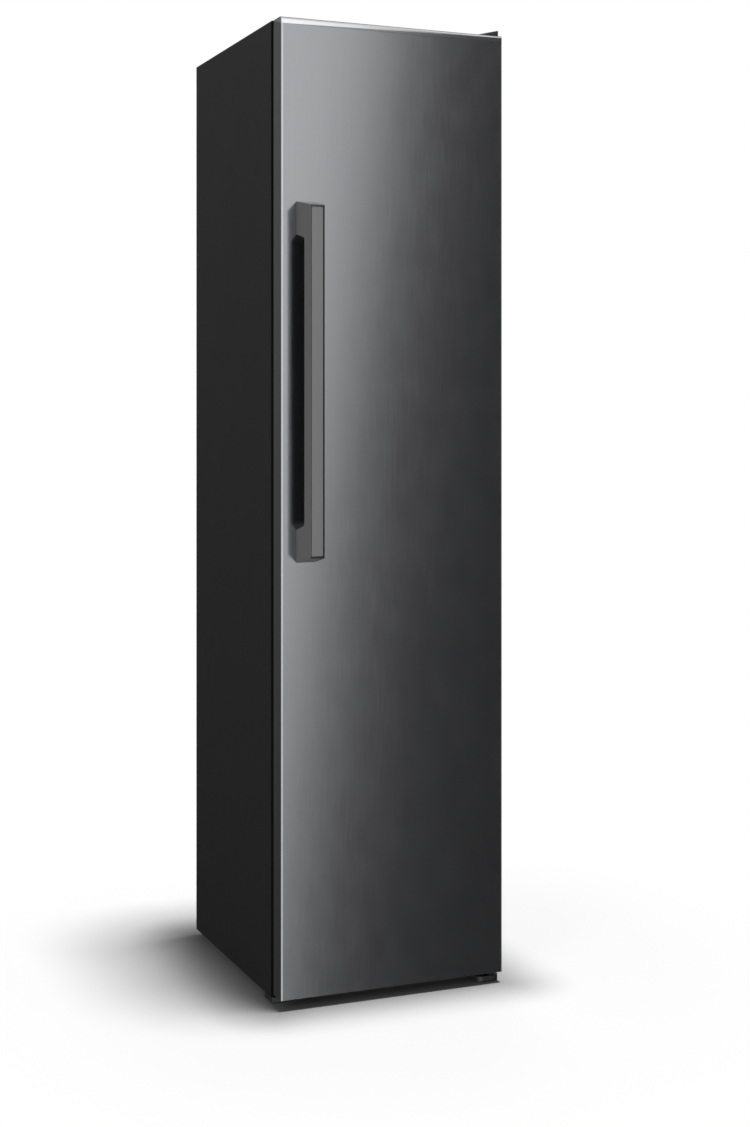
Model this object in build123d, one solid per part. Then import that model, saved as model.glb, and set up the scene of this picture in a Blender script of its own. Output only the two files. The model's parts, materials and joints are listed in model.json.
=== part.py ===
"""An upright freezer: one tall hinged door with a bar handle, on two levelling feet and two rollers.

Millimetres. X runs to the right seen from the front, Y to the back, Z up. The origin is on the
floor, in the middle of the freezer's width and of its depth from the handle to the back panel.
"""
from build123d import *
import os

# ---------------------------------------------------------------- driving dimensions
# Outside
width = 495.0
height = 2000.0
cabinet_depth = 528.0
door_thickness = 44.0
door_gap = 10.0
door_lift = 10.0
door_top_gap = 1.5
base_clearance = 13.0
sheet = 0.8
base_sheet = 2.0
flange = 15.0
foam_rim = 1.6

# Insulated walls and the cold space
side_wall = 50.0
top_wall = 60.0
back_wall = 55.0
floor_wall = 62.0
step_wall = 50.0
liner = 1.6
liner_corner = 12.0
machine_height = 200.0
machine_depth = 200.0
machine_sheet = 1.0

# Door
skin_radius = 3.0
skin_return = 12.0
top_cap_height = 14.0
top_cap_round = 6.0
bottom_cap_height = 12.0
bottom_cap_inset = 1.0
door_liner_sheet = 2.0
plug_gap = 7.0
plug_depth = 8.0
dyke_gap = 24.0
dyke_width = 18.0
dyke_depth = 92.0
dyke_end_gap = 60.0
gasket_inset = 18.0
gasket_width = 16.0
gasket_play = 0.3

# Handle
handle_projection = 66.0
handle_side_gap = 33.0
handle_root_width = 41.0
handle_width = 33.0
handle_low = 901.0
handle_length = 727.0
handle_rake = 12.5
handle_bar_thickness = 26.0
handle_post = 66.0
handle_post_slant = 10.5
handle_edge_round = 5.0
handle_end_round = 6.0
face_margin = 4.5
face_thickness = 1.2
face_corner = 2.5

# Door bins
bin_count = 4
first_bin_height = 250.0
bin_pitch = 400.0
bin_height = 110.0
bin_wall = 2.5
bin_play = 0.5
bin_lug = 6.0
bin_lug_height = 4.0
bin_lug_margin = 12.0

# Hinges
pin_inset = 16.0
pin_setback = 26.0
pin_radius = 4.0
pin_reach = 11.0
bush_radius = 7.0
bush_length = 12.0
bush_play = 0.06
hinge_sheet = 2.5
hinge_arm = 9.0
hinge_plate_width = 50.0
hinge_plate_depth = 42.0
hinge_plate_setback = 3.0
cover_width = 60.0
cover_setback = 15.0
cover_reach = 50.0
cover_height = 13.0
cover_low_height = 8.0
cover_corner = 40.0
cover_small_corner = 4.0
cover_wall = 1.5
cover_side_gap = 0.5
bottom_bracket_width = 51.0
bottom_bracket_depth = 46.0
bottom_bracket_front = 13.0
bracket_sheet = 3.0
bracket_skirt = 10.0
bracket_corner = 13.0
left_bracket_width = 28.0
collar_radius = 7.0
collar_play = 0.3

# Levelling feet and rollers
pad_radius = 10.5
pad_height = 7.0
pad_taper = 1.5
pad_socket = 3.5
stud_radius = 4.0
thread_grip = 22.0
stud_play = 0.05
stud_hole_play = 1.0
left_foot_inset = 14.0
right_foot_inset = 30.0
foot_setback = 16.0
foot_travel = 12.0
roller_radius = 15.0
roller_width = 20.0
roller_inset = 42.0
roller_setback = 42.0
axle_radius = 3.0
axle_play = 0.08
roller_side_play = 1.0
ear_thickness = 2.0
ear_half_depth = 9.0
ear_drop = 8.0
roller_plate_margin_x = 11.0
roller_plate_margin_y = 9.0
well_play = 3.0

# Screws, all alike
screw_radius = 2.5
screw_length = 20.0
screw_head_radius = 5.0
screw_head_height = 3.0
screw_play = 0.1
screw_edge = 9.0

# Shelves and basket
shelf_count = 5
first_shelf_rise = 60.0
shelf_pitch = 280.0
shelf_setback = 112.0
glass_thickness = 4.0
shelf_play = 2.0
ledge_width = 10.0
ledge_height = 6.0
trim_depth = 14.0
trim_height = 11.0
trim_bite = 8.0
basket_wall = 2.5
basket_play = 4.0
basket_rise = 25.0
basket_step_gap = 4.0

# Control housing
control_width = 230.0
control_depth = 110.0
control_height = 42.0
control_wall = 2.5
knob_radius = 15.0
knob_length = 11.0
knob_offset = 70.0
knob_shaft_radius = 4.0
knob_shaft_length = 9.0
knob_grip_width = 5.0
knob_grip_inset = 2.0
knob_play = 0.3
shaft_play = 0.08
button_radius = 8.0
button_offset = -70.0
button_travel = 2.0
button_pressed_proud = 2.0
button_flange = 2.0
button_inner_length = 3.0
button_play = 0.3
lens_length = 100.0
lens_depth = 34.0
lens_lip = 2.0
lens_play = 0.1

# Cold-air unit
duct_depth = 60.0
cover_panel = 3.0
cover_side_play = 0.5
outlet_length = 70.0
outlet_height = 9.0
outlet_pitch = 105.0
outlet_columns = 3
outlet_drop = 45.0
return_slots = 9
return_slot_width = 22.0
return_slot_height = 30.0
return_slot_rise = 16.0
fin_count = 24
fin_thickness = 0.8
end_plate = 2.0
evaporator_side_gap = 57.5
evaporator_height = 140.0
evaporator_rise = 45.0
evaporator_play = 5.0
evaporator_rows = 4
evaporator_row_pitch = 30.0
evaporator_row_rise = 25.0
evaporator_columns_gap = 24.0
evaporator_overhang = 4.0
evaporator_bend = 11.0
evaporator_tube_radius = 4.0
tube_fit = 0.05
heater_radius = 4.0
heater_rise = 26.0
channel_side_gap = 16.0
channel_height = 16.0
channel_wall = 2.0
channel_play = 3.0
drain_radius = 8.0
drain_wall = 1.5
drain_flange = 3.0
drain_flange_height = 1.5
drain_play = 0.3
fan_rise = 270.0
fan_radius = 48.0
fan_hub_radius = 13.0
fan_hub_length = 15.0
fan_gap = 6.0
fan_blades = 5
fan_blade_thickness = 1.8
fan_blade_chord = 24.0
fan_blade_pitch = 28.0
fan_shaft_radius = 2.0
fan_shaft_play = 0.08
motor_radius = 20.0
motor_length = 22.0
motor_gap = 4.0
motor_arm = 7.0
grille_radius = 54.0
grille_bar = 5.0
grille_slot = 6.0

# Machine room
compressor_inset = 187.5
compressor_setback = 102.0
compressor_radius = 57.0
compressor_shell_height = 138.0
compressor_dome = 26.0
seam_width = 3.0
seam_height = 5.0
compressor_plate = 3.0
compressor_plate_width = 150.0
compressor_plate_depth = 112.0
compressor_bolt_margin = 12.0
grommet_radius = 9.0
grommet_height = 12.0
stub_radius = 5.0
stub_reach = 76.0
suction_stub_rise = 75.0
discharge_stub_rise = 45.0
process_stub_rise = 60.0
terminal_width = 46.0
terminal_depth = 34.0
terminal_height = 50.0
terminal_rise = 45.0
terminal_fit = 0.1
tray_half_width = 66.0
tray_half_depth = 62.0
tray_height = 20.0
tray_wall = 2.0
tray_corner = 14.0
pipe_radius = 4.0
pipe_bend = 16.0
pipe_hole_play = 1.0
suction_side_gap = 19.5
capillary_radius = 1.2
capillary_side_gap = 9.5
capillary_setback = 26.0
capillary_bend = 10.0
capillary_run = 30.0
drier_radius = 9.0
drier_length = 80.0
drier_taper = 14.0
condenser_radius = 2.5
condenser_gap = 0.1
condenser_setback = 58.0
condenser_runs = 4
condenser_pitch = 108.0
condenser_low_rise = 60.0
condenser_top_gap = 110.0
condenser_cross_rise = 32.0
condenser_entry_drop = 26.0
condenser_outlet = 42.0
condenser_bend = 14.0
condenser_slot_play = 0.5
inlet_width = 48.0
inlet_depth = 30.0
inlet_height = 32.0
inlet_inset = 117.5
inlet_wall = 5.0
inlet_recess = 18.0
inlet_blade = 4.0
inlet_blade_thickness = 2.0
inlet_blade_pitch = 9.0

# ---------------------------------------------------------------- places that follow
left = -width / 2
right = width / 2
total_depth = handle_projection + door_thickness + door_gap + cabinet_depth
handle_front = -total_depth / 2
door_front = handle_front + handle_projection
door_back = door_front + door_thickness
cabinet_front = door_back + door_gap
cabinet_back = total_depth / 2

cabinet_bottom = base_clearance
base_top = cabinet_bottom + base_sheet
panel_top = height - sheet
door_bottom = cabinet_bottom + door_lift
door_top = height - door_top_gap
skin_top = door_top - top_cap_height
cap_bottom = door_bottom + bottom_cap_inset
cap_top = cap_bottom + bottom_cap_height

cavity_side = width / 2 - side_wall
cavity_floor = cabinet_bottom + floor_wall
cavity_top = height - top_wall
cavity_back = cabinet_back - back_wall
machine_top = cabinet_bottom + machine_height
machine_front = cabinet_back - machine_depth
step_top = machine_top + step_wall
step_front = machine_front - step_wall

rim_back = door_back - sheet
rim_front = rim_back - door_liner_sheet
plug_side = cavity_side - plug_gap
plug_back = cabinet_front + plug_depth
dyke_outer = cavity_side - dyke_gap
dyke_inner = dyke_outer - dyke_width
dyke_back = cabinet_front + dyke_depth

pin_x = right - pin_inset
pin_y = door_front + pin_setback

duct_front = cavity_back - duct_depth
duct_inside = duct_front + cover_panel
duct_middle = (duct_inside + cavity_back) / 2
shelf_front = cabinet_front + shelf_setback
shelf_levels = [step_top + first_shelf_rise + index * shelf_pitch for index in range(shelf_count)]
bin_levels = [first_bin_height + index * bin_pitch for index in range(bin_count)]

suction_x = cavity_side - suction_side_gap
capillary_x = cavity_side - capillary_side_gap
channel_half_length = suction_x - channel_side_gap
evaporator_half_length = cavity_side - evaporator_side_gap
channel_top = step_top + channel_wall
fin_front = duct_inside + evaporator_play
fin_back = cavity_back - evaporator_play
fin_low = step_top + evaporator_rise
tube_rows = [fin_low + evaporator_row_rise + row * evaporator_row_pitch for row in range(evaporator_rows)]
tube_front = duct_middle - evaporator_columns_gap / 2
tube_back = duct_middle + evaporator_columns_gap / 2
fan_z = step_top + fan_rise
hub_front = duct_inside + fan_gap
hub_back = hub_front + fan_hub_length
motor_front = hub_back + motor_gap
motor_back = motor_front + motor_length

control_front = shelf_front
control_back = control_front + control_depth
control_low = cavity_top - control_height
control_middle = cavity_top - control_height / 2

compressor_x = right - compressor_inset
compressor_y = cabinet_back - compressor_setback
plate_low = base_top + grommet_height
plate_top = plate_low + compressor_plate
shell_top = plate_top + compressor_shell_height
tray_top = shell_top + tray_height
stub_end = compressor_x + stub_reach
suction_z = plate_top + suction_stub_rise
discharge_z = plate_top + discharge_stub_rise
condenser_x = right - sheet - condenser_gap - condenser_radius
condenser_y = cabinet_back - condenser_setback
condenser_entry = machine_top - condenser_entry_drop
condenser_low = step_top + condenser_low_rise
condenser_high = height - condenser_top_gap
condenser_cross = base_top + condenser_cross_rise
inlet_x = left + inlet_inset
drier_start = -condenser_x + condenser_outlet
drier_end = drier_start + drier_length

left_foot = (left + left_foot_inset, cabinet_front + foot_setback)
right_foot = (right - right_foot_inset, cabinet_front + foot_setback)
roller_x = right - roller_inset
roller_y = cabinet_back - roller_setback


# ---------------------------------------------------------------- shared shapes
def block(x, y, z):
    """A box between two places on each axis."""
    spans = [sorted(span) for span in (x, y, z)]
    sizes = [high - low for low, high in spans]
    middles = [(high + low) / 2 for low, high in spans]
    return Pos(*middles) * Box(*sizes)


def around(middle, half):
    """A span that reaches equally far both ways."""
    return middle - half, middle + half


def rod(radius, start, end):
    """A round bar from one point to another."""
    run = Vector(*end) - Vector(*start)
    return extrude(Plane(origin=start, z_dir=run) * Circle(radius), run.length)


def post(radius, x, y, z):
    """A round bar that stands upright."""
    low, high = z
    return rod(radius, (x, y, low), (x, y, high))


def rounded(points, radius_at=None):
    """A flat outline with its corners, counted from nought, rounded as asked."""
    face = make_face(Polyline(*points, close=True))
    for corner, radius in (radius_at or {}).items():
        place = Vector(*points[corner], 0)
        vertex = min(face.vertices(), key=lambda item: (Vector(item) - place).length)
        face = fillet(vertex, radius)
    return face


def prism_x(face, x):
    """A (Y, Z) outline drawn out along X."""
    low, high = sorted(x)
    return extrude(Plane.YZ.offset(low) * face, high - low)


def prism_z(face, z):
    """An (X, Y) outline drawn out along Z."""
    low, high = sorted(z)
    return extrude(Plane.XY.offset(low) * face, high - low)


def bent_tube(radius, points, bends):
    """A round tube along straight runs joined by arcs."""
    path = FilletPolyline(*points, radius=bends)
    section = Plane(origin=path @ 0, z_dir=path % 0) * Circle(radius)
    return sweep(section, path=path)


def mirrored(shape):
    """The same shape on the other side of the freezer."""
    return mirror(shape, about=Plane.YZ)


def save(shape, name):
    """Write one sub-part."""
    export_step(shape, f"parts/{name}.step")


# ---------------------------------------------------------------- screws
def screw_places():
    """Every screw of the cabinet: the point its head rests on and the way its shank points."""
    places = []
    for x, y in top_hinge_screws():
        places.append((x, y, height + hinge_sheet, -1))
    for x, y in bottom_hinge_screws() + left_bracket_screws():
        places.append((x, y, cabinet_bottom - bracket_sheet, 1))
    for x, y in compressor_bolt_places():
        places.append((x, y, plate_top, -1))
    for side in (-1, 1):
        places.append((side * roller_x, roller_screw_y(), cabinet_bottom, 1))
    return places


def top_hinge_screws():
    """Two screws that hold the top hinge plate."""
    y = cabinet_front + hinge_plate_setback + hinge_plate_depth / 2
    outer = right - cover_side_gap - cover_wall
    return [(outer - screw_edge, y), (right - hinge_plate_width + screw_edge, y)]


def bottom_hinge_screws():
    """Two screws behind the right foot."""
    y = cabinet_front + bottom_bracket_depth - screw_edge
    return [(right - screw_edge, y), (right - bottom_bracket_width + screw_edge, y)]


def left_bracket_screws():
    """One screw behind the left foot."""
    return [(left + left_bracket_width / 2, cabinet_front + bottom_bracket_depth - screw_edge)]


def compressor_bolt_places():
    """The four corners of the compressor's base plate."""
    reach_x = compressor_plate_width / 2 - compressor_bolt_margin
    reach_y = compressor_plate_depth / 2 - compressor_bolt_margin
    return [(compressor_x + a * reach_x, compressor_y + b * reach_y) for a in (-1, 1) for b in (-1, 1)]


def roller_screw_y():
    """The screw in the rim of a roller bracket, in front of the roller."""
    return roller_y - roller_radius - well_play - roller_plate_margin_y / 2


def screw(x, y, z, way):
    """One pan-head screw."""
    shank = rod(screw_radius, (x, y, z), (x, y, z + way * screw_length))
    head = rod(screw_head_radius, (x, y, z), (x, y, z - way * screw_head_height))
    return shank + head


def screw_hole(x, y, z, way):
    """The hole that one screw's shank needs."""
    return rod(screw_radius + screw_play, (x, y, z), (x, y, z + way * screw_length))


def drilled(shape):
    """A sub-part with every screw hole that reaches it."""
    for place in screw_places():
        shape = shape - screw_hole(*place)
    return shape


# ---------------------------------------------------------------- cabinet shell
def side_panel():
    """The left steel side with its front flange."""
    panel = block((left, left + sheet), (cabinet_front, cabinet_back), (cabinet_bottom, panel_top))
    front = block((left, left + flange), (cabinet_front, cabinet_front + sheet), (cabinet_bottom, panel_top))
    return panel + front


def top_panel():
    """The steel top with its front flange."""
    panel = block((left, right), (cabinet_front, cabinet_back), (panel_top, height))
    front = block((left + flange, right - flange), (cabinet_front, cabinet_front + sheet),
                  (height - flange, height))
    return drilled(panel + front)


def rear_panel():
    """The flat steel back above the machine room."""
    return block((left + sheet, right - sheet), (cabinet_back - sheet, cabinet_back),
                 (machine_top + machine_sheet, panel_top))


def base_plate():
    """The steel floor that carries feet, rollers and compressor."""
    plate = block((left + sheet, right - sheet), (cabinet_front + sheet, cabinet_back),
                  (cabinet_bottom, base_top))
    front = block((left + flange, right - flange), (cabinet_front, cabinet_front + sheet),
                  (cabinet_bottom, cabinet_bottom + flange))
    plate = plate + front
    for x, y in (left_foot, right_foot):
        plate = plate - post(stud_radius + stud_hole_play, x, y, (cabinet_bottom, base_top))
    for side in (-1, 1):
        plate = plate - roller_well(side * roller_x)
    return drilled(plate)


def roller_well(x):
    """The hole in the floor that one roller and its ears pass through."""
    half = roller_width / 2 + roller_side_play + ear_thickness + well_play
    reach = roller_radius + well_play
    return block((x - half, x + half), (roller_y - reach, roller_y + reach), (0, base_top))


def machine_room_housing():
    """The folded sheet between the insulation and the machine room."""
    across = (left + sheet, right - sheet)
    wall = block(across, (machine_front - machine_sheet, machine_front), (base_top, machine_top))
    roof = block(across, (machine_front - machine_sheet, cabinet_back),
                 (machine_top, machine_top + machine_sheet))
    return (wall + roof) - pipe_passages()


def pipe_passages():
    """Drain, suction, capillary and condenser holes through roof, insulation and liner."""
    low = machine_top - machine_sheet
    high = step_top + liner
    holes = post(drain_radius + drain_play, compressor_x, duct_middle, (low, high))
    holes = holes + post(pipe_radius + pipe_hole_play, suction_x, tube_back, (low, high))
    holes = holes + post(capillary_radius + pipe_hole_play, capillary_x, tube_front, (low, high))
    for side in (-1, 1):
        x = side * condenser_x
        gap = condenser_radius + condenser_slot_play
        holes = holes + block(around(x, gap), around(condenser_y, gap), (low, high))
    return holes


def cavity(grow):
    """The cold space with its step over the machine room, grown by a wall thickness."""
    front = cabinet_front
    back = cavity_back + grow
    outline = [(front, cavity_floor - grow), (step_front + grow, cavity_floor - grow),
               (step_front + grow, step_top - grow), (back, step_top - grow),
               (back, cavity_top + grow), (front, cavity_top + grow)]
    shape = prism_x(rounded(outline), (-cavity_side - grow, cavity_side + grow))
    upright = shape.edges().filter_by(Axis.Z)
    corners = [edge for edge in upright if edge.center().Y > (step_front + back) / 2]
    return fillet(corners, liner_corner + grow)


def inner_liner():
    """The white plastic liner with its front rim and shelf ledges."""
    inside = cavity(0)
    rim = block((left + flange, right - flange), (cabinet_front, cabinet_front + liner),
                (cabinet_bottom + flange, height - flange))
    shell = (cavity(liner) + rim) - inside
    for level in shelf_levels:
        for side in (-1, 1):
            ledge = block((side * (cavity_side - ledge_width), side * (cavity_side + liner / 2)),
                          (shelf_front, duct_front), (level - ledge_height, level))
            shell = shell + ledge
    return shell - pipe_passages()


def condenser_route():
    """Points of the condenser: up and down in one side, across below, and in the other side."""
    lanes = [condenser_y - lane * condenser_pitch for lane in range(condenser_runs)]
    half = []
    for lane, y in enumerate(lanes):
        ends = (condenser_low, condenser_high) if lane % 2 == 0 else (condenser_high, condenser_low)
        start, end = ends
        start = condenser_entry if lane == 0 else start
        end = condenser_cross if lane == condenser_runs - 1 else end
        half += [(y, start), (y, end)]
    points = [(condenser_x, y, z) for y, z in half]
    points += [(-condenser_x, y, z) for y, z in reversed(half)]
    return points + [(drier_start, condenser_y, condenser_entry)]


def condenser_tube():
    """The hot tube behind both sides, from the compressor to the drier."""
    return bent_tube(condenser_radius, condenser_route(), condenser_bend)


def condenser_slots():
    """The room that the condenser takes in the insulation."""
    gap = condenser_radius + condenser_slot_play
    slots = None
    route = condenser_route()
    for start, end in zip(route[:-2], route[1:-1]):
        low = [min(a, b) - gap for a, b in zip(start, end)]
        high = [max(a, b) + gap for a, b in zip(start, end)]
        run = block((low[0], high[0]), (low[1], high[1]), (low[2], high[2]))
        slots = run if slots is None else slots + run
    bend = condenser_bend + gap
    for side in (-1, 1):
        for lane in range(condenser_runs - 1):
            y = condenser_y - (lane + 0.5) * condenser_pitch
            reach = condenser_pitch / 2 + gap
            z, way = (condenser_high, -1) if lane % 2 == 0 else (condenser_low, 1)
            slots = slots + block((side * condenser_x - gap, side * condenser_x + gap),
                                  (y - reach, y + reach), (z - way * gap, z + way * bend))
        last = condenser_y - (condenser_runs - 1) * condenser_pitch
        slots = slots + block((side * (condenser_x - bend), side * (condenser_x + gap)),
                              (last - gap, last + gap), (condenser_cross - gap, condenser_cross + bend))
    return slots


def cabinet_foam():
    """The rigid insulation between shell and liner."""
    body = block((left + sheet, right - sheet), (cabinet_front + foam_rim, cabinet_back - sheet),
                 (base_top, panel_top))
    machine = block((left, right), (machine_front - machine_sheet, cabinet_back + sheet),
                    (base_top - sheet, machine_top + machine_sheet))
    body = body - cavity(liner) - machine - pipe_passages() - condenser_slots()
    for x, y in (left_foot, right_foot):
        body = body - rod(stud_radius + stud_hole_play, (x, y, 0), (x, y, stud_top() + stud_hole_play))
    return drilled(body)


# ---------------------------------------------------------------- cold-air unit
def evaporator():
    """Fins on a folded tube, between two end plates that stand in the drip channel."""
    tube = bent_tube(evaporator_tube_radius, evaporator_route(), evaporator_bend)
    fin = block((0, fin_thickness), (fin_front, fin_back), (fin_low, fin_low + evaporator_height))
    plate = block((0, end_plate), (fin_front, fin_back), (channel_top, fin_low + evaporator_height))
    for z in tube_rows:
        for y in (tube_front, tube_back):
            hole = rod(evaporator_tube_radius + tube_fit, (-end_plate, y, z), (2 * end_plate, y, z))
            fin = fin - hole
            plate = plate - hole
    inner = evaporator_half_length - end_plate
    pitch = 2 * inner / (fin_count + 1)
    pieces = [tube, Pos(-evaporator_half_length) * plate, Pos(inner) * plate]
    pieces += [Pos(-inner + (index + 1) * pitch - fin_thickness / 2) * fin for index in range(fin_count)]
    return Compound(children=pieces)


def evaporator_reach():
    """How far the tube's bends stand out to each side."""
    return evaporator_half_length + evaporator_overhang + evaporator_bend


def evaporator_route():
    """Points of the folded tube: up the front column and down the back one."""
    reach = evaporator_reach()
    points = []
    way = 1
    for z in tube_rows:
        points += [(way * reach, tube_front, z), (-way * reach, tube_front, z)]
        way = -way
    for z in reversed(tube_rows):
        points += [(way * reach, tube_back, z), (-way * reach, tube_back, z)]
        way = -way
    return points


def defrost_heater():
    """The heater rod below the fins, held by the end plates."""
    inner = evaporator_half_length - end_plate
    z = channel_top + heater_rise
    return rod(heater_radius, (-inner, duct_middle, z), (inner, duct_middle, z))


def drip_channel():
    """The trough under the evaporator."""
    reach_y = (duct_inside + channel_play, cavity_back - channel_play)
    outer = block((-channel_half_length, channel_half_length), reach_y, (step_top, step_top + channel_height))
    inner = block((-channel_half_length + channel_wall, channel_half_length - channel_wall),
                  (reach_y[0] + channel_wall, reach_y[1] - channel_wall),
                  (channel_top, step_top + channel_height))
    hole = rod(drain_radius, (compressor_x, duct_middle, step_top), (compressor_x, duct_middle, channel_top))
    return outer - inner - hole


def drain_tube():
    """The drain from the channel to the tray on the compressor."""
    low = shell_top + tray_height / 2
    x = compressor_x
    high = channel_top + drain_flange_height
    tube = post(drain_radius, x, duct_middle, (low, channel_top))
    lip = post(drain_radius + drain_flange, x, duct_middle, (channel_top, high))
    bore = post(drain_radius - drain_wall, x, duct_middle, (low, high))
    return tube + lip - bore


def evaporator_cover():
    """The white panel in front of evaporator and fan, with outlets at each shelf."""
    half = cavity_side - cover_side_play
    panel = block((-half, half), (duct_front, duct_inside), (step_top, cavity_top))
    through = (duct_front - cover_panel, duct_inside + cover_panel)
    middle = (outlet_columns - 1) / 2
    tops = shelf_levels[1:] + [control_low]
    for top in tops:
        for column in range(outlet_columns):
            x = (column - middle) * outlet_pitch
            panel = panel - block((x - outlet_length / 2, x + outlet_length / 2), through,
                                  (top - outlet_drop, top - outlet_drop + outlet_height))
    first = -(return_slots - 1) / 2
    for index in range(return_slots):
        x = (first + index) * (2 * evaporator_half_length / return_slots)
        panel = panel - block((x - return_slot_width / 2, x + return_slot_width / 2), through,
                              (step_top + return_slot_rise, step_top + return_slot_rise + return_slot_height))
    return panel - fan_grille(through)


def fan_grille(through):
    """Upright slots inside a circle, in front of the fan."""
    disc = rod(grille_radius, (0, through[0], fan_z), (0, through[1], fan_z))
    pitch = grille_bar + grille_slot
    count = int(2 * grille_radius / pitch)
    slots = None
    for index in range(count):
        x = (index - (count - 1) / 2) * pitch
        slot = block(around(x, grille_slot / 2), through, around(fan_z, grille_radius))
        slots = slot if slots is None else slots + slot
    return slots & disc


def fan_blade():
    """The fan wheel: a hub with pitched blades."""
    hub = rod(fan_hub_radius, (0, hub_front, fan_z), (0, hub_back, fan_z))
    root = fan_hub_radius - fan_blade_thickness
    blade = Pos((root + fan_radius) / 2) * Rot(fan_blade_pitch) * Box(
        fan_radius - root, fan_blade_chord, fan_blade_thickness)
    centre = Pos(0, (hub_front + hub_back) / 2, fan_z)
    for index in range(fan_blades):
        hub = hub + centre * Rot(0, index * 360 / fan_blades, 0) * blade
    return hub - rod(fan_shaft_radius + fan_shaft_play, (0, hub_front, fan_z), (0, hub_back, fan_z))


def fan_motor():
    """The motor with its shaft and the arms that hang it on the cover."""
    motor = rod(motor_radius, (0, motor_front, fan_z), (0, motor_back, fan_z))
    shaft = rod(fan_shaft_radius, (0, hub_front, fan_z), (0, motor_front, fan_z))
    motor = motor + shaft
    reach = grille_radius + motor_arm
    middle = (motor_front + motor_back) / 2
    for side in (-1, 1):
        arm = block((side * motor_radius / 2, side * reach), (middle - motor_arm / 2, middle + motor_arm / 2),
                    (fan_z - motor_arm / 2, fan_z + motor_arm / 2))
        post = block((side * (reach - motor_arm), side * reach), (duct_inside, middle + motor_arm / 2),
                     (fan_z - motor_arm / 2, fan_z + motor_arm / 2))
        motor = motor + arm + post
    return motor


# ---------------------------------------------------------------- inside the cold space
def glass_shelf(level):
    """One glass shelf on its two ledges."""
    half = cavity_side - shelf_play
    return block((-half, half), (shelf_front + trim_depth - trim_bite, duct_front - shelf_play),
                 (level, level + glass_thickness))


def shelf_trims():
    """The grooved rail along the front edge of every shelf."""
    half = cavity_side - shelf_play
    rails = [block((-half, half), (shelf_front, shelf_front + trim_depth), (level, level + trim_height))
             - glass_shelf(level) for level in shelf_levels]
    return Compound(children=rails)


def freezer_basket():
    """The open basket in front of the step."""
    half = cavity_side - basket_play
    y = (shelf_front, step_front - basket_step_gap)
    outer = block((-half, half), y, (cavity_floor, step_top + basket_rise))
    inner = block((-half + basket_wall, half - basket_wall), (y[0] + basket_wall, y[1] - basket_wall),
                  (cavity_floor + basket_wall, step_top + basket_rise))
    return outer - inner


def control_housing():
    """The box under the ceiling with holes for knob, button and lens."""
    half = control_width / 2
    outer = block((-half, half), (control_front, control_back), (control_low, cavity_top))
    inner = block((-half + control_wall, half - control_wall),
                  (control_front + control_wall, control_back - control_wall),
                  (control_low + control_wall, cavity_top))
    front = (control_front, control_front + control_wall)
    knob = rod(knob_shaft_radius + shaft_play, (knob_offset, front[0], control_middle),
               (knob_offset, front[1], control_middle))
    button = rod(button_radius + button_play, (button_offset, front[0], control_middle),
                 (button_offset, front[1], control_middle))
    x, y = lens_window(lens_play)
    return outer - inner - knob - button - block(x, y, (control_low, control_low + control_wall))


def lens_window(play):
    """The lamp window, in X and Y."""
    y = (control_front + control_back) / 2
    reach_x = lens_length / 2 + play
    reach_y = lens_depth / 2 + play
    return (-reach_x, reach_x), (y - reach_y, y + reach_y)


def lamp_lens():
    """The clear lens that sits in the housing's floor on a lip."""
    x, y = lens_window(0)
    pane = block(x, y, (control_low, control_low + control_wall))
    x, y = lens_window(lens_lip)
    return pane + block(x, y, (control_low + control_wall, control_low + 2 * control_wall))


def control_knob():
    """The temperature knob with its grip bar and shaft."""
    back = control_front - knob_play
    face = back - knob_length / 2
    disc = rod(knob_radius, (knob_offset, back, control_middle), (knob_offset, face, control_middle))
    grip = block(around(knob_offset, knob_grip_width / 2), (back - knob_length, face),
                 around(control_middle, knob_radius - knob_grip_inset))
    shaft = rod(knob_shaft_radius, (knob_offset, back, control_middle),
                (knob_offset, back + knob_shaft_length, control_middle))
    return disc + grip + shaft


def freeze_button():
    """The fast-freeze push button with its collar behind the wall."""
    inside = control_front + control_wall + button_play
    face = control_front - button_pressed_proud - button_travel
    stem = rod(button_radius, (button_offset, face, control_middle), (button_offset, inside, control_middle))
    collar = rod(button_radius + button_flange, (button_offset, inside, control_middle),
                 (button_offset, inside + button_inner_length, control_middle))
    return stem + collar


# ---------------------------------------------------------------- machine room
def compressor_shell(grow=0.0):
    """The domed steel shell with its welded seam."""
    foot = (compressor_x, compressor_y, plate_top)
    top = (compressor_x, compressor_y, shell_top)
    shell = rod(compressor_radius + grow, foot, top)
    rims = [edge for edge in shell.edges() if edge.geom_type == GeomType.CIRCLE]
    shell = fillet(rims, compressor_dome)
    seam_z = (plate_top + shell_top) / 2
    return shell + rod(compressor_radius + seam_width + grow, (compressor_x, compressor_y, seam_z),
                       (compressor_x, compressor_y, seam_z + seam_height))


def compressor():
    """The compressor with its welded base plate and pipe stubs."""
    half_x = compressor_plate_width / 2
    half_y = compressor_plate_depth / 2
    plate = block(around(compressor_x, half_x), around(compressor_y, half_y), (plate_low, plate_top))
    pump = compressor_shell() + drilled(plate)
    for y, z in ((tube_back, suction_z), (condenser_y, discharge_z)):
        pump = pump + rod(stub_radius, (compressor_x, y, z), (stub_end, y, z))
    z = plate_top + process_stub_rise
    end = compressor_y + stub_reach
    return pump + rod(pipe_radius, (compressor_x, compressor_y, z), (compressor_x, end, z))


def compressor_grommets():
    """Four rubber feet under the compressor."""
    feet = [rod(grommet_radius, (x, y, base_top), (x, y, plate_low))
            - rod(screw_radius + screw_play, (x, y, base_top), (x, y, plate_low))
            for x, y in compressor_bolt_places()]
    return Compound(children=feet)


def terminal_cover():
    """The cover over relay and terminals, on the compressor's left side."""
    reach = compressor_radius + terminal_width / 2
    box = block((compressor_x - reach, compressor_x - compressor_radius / 2),
                (compressor_y - terminal_depth / 2, compressor_y + terminal_depth / 2),
                (plate_top + terminal_rise, plate_top + terminal_rise + terminal_height))
    return box - compressor_shell(terminal_fit)


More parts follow.
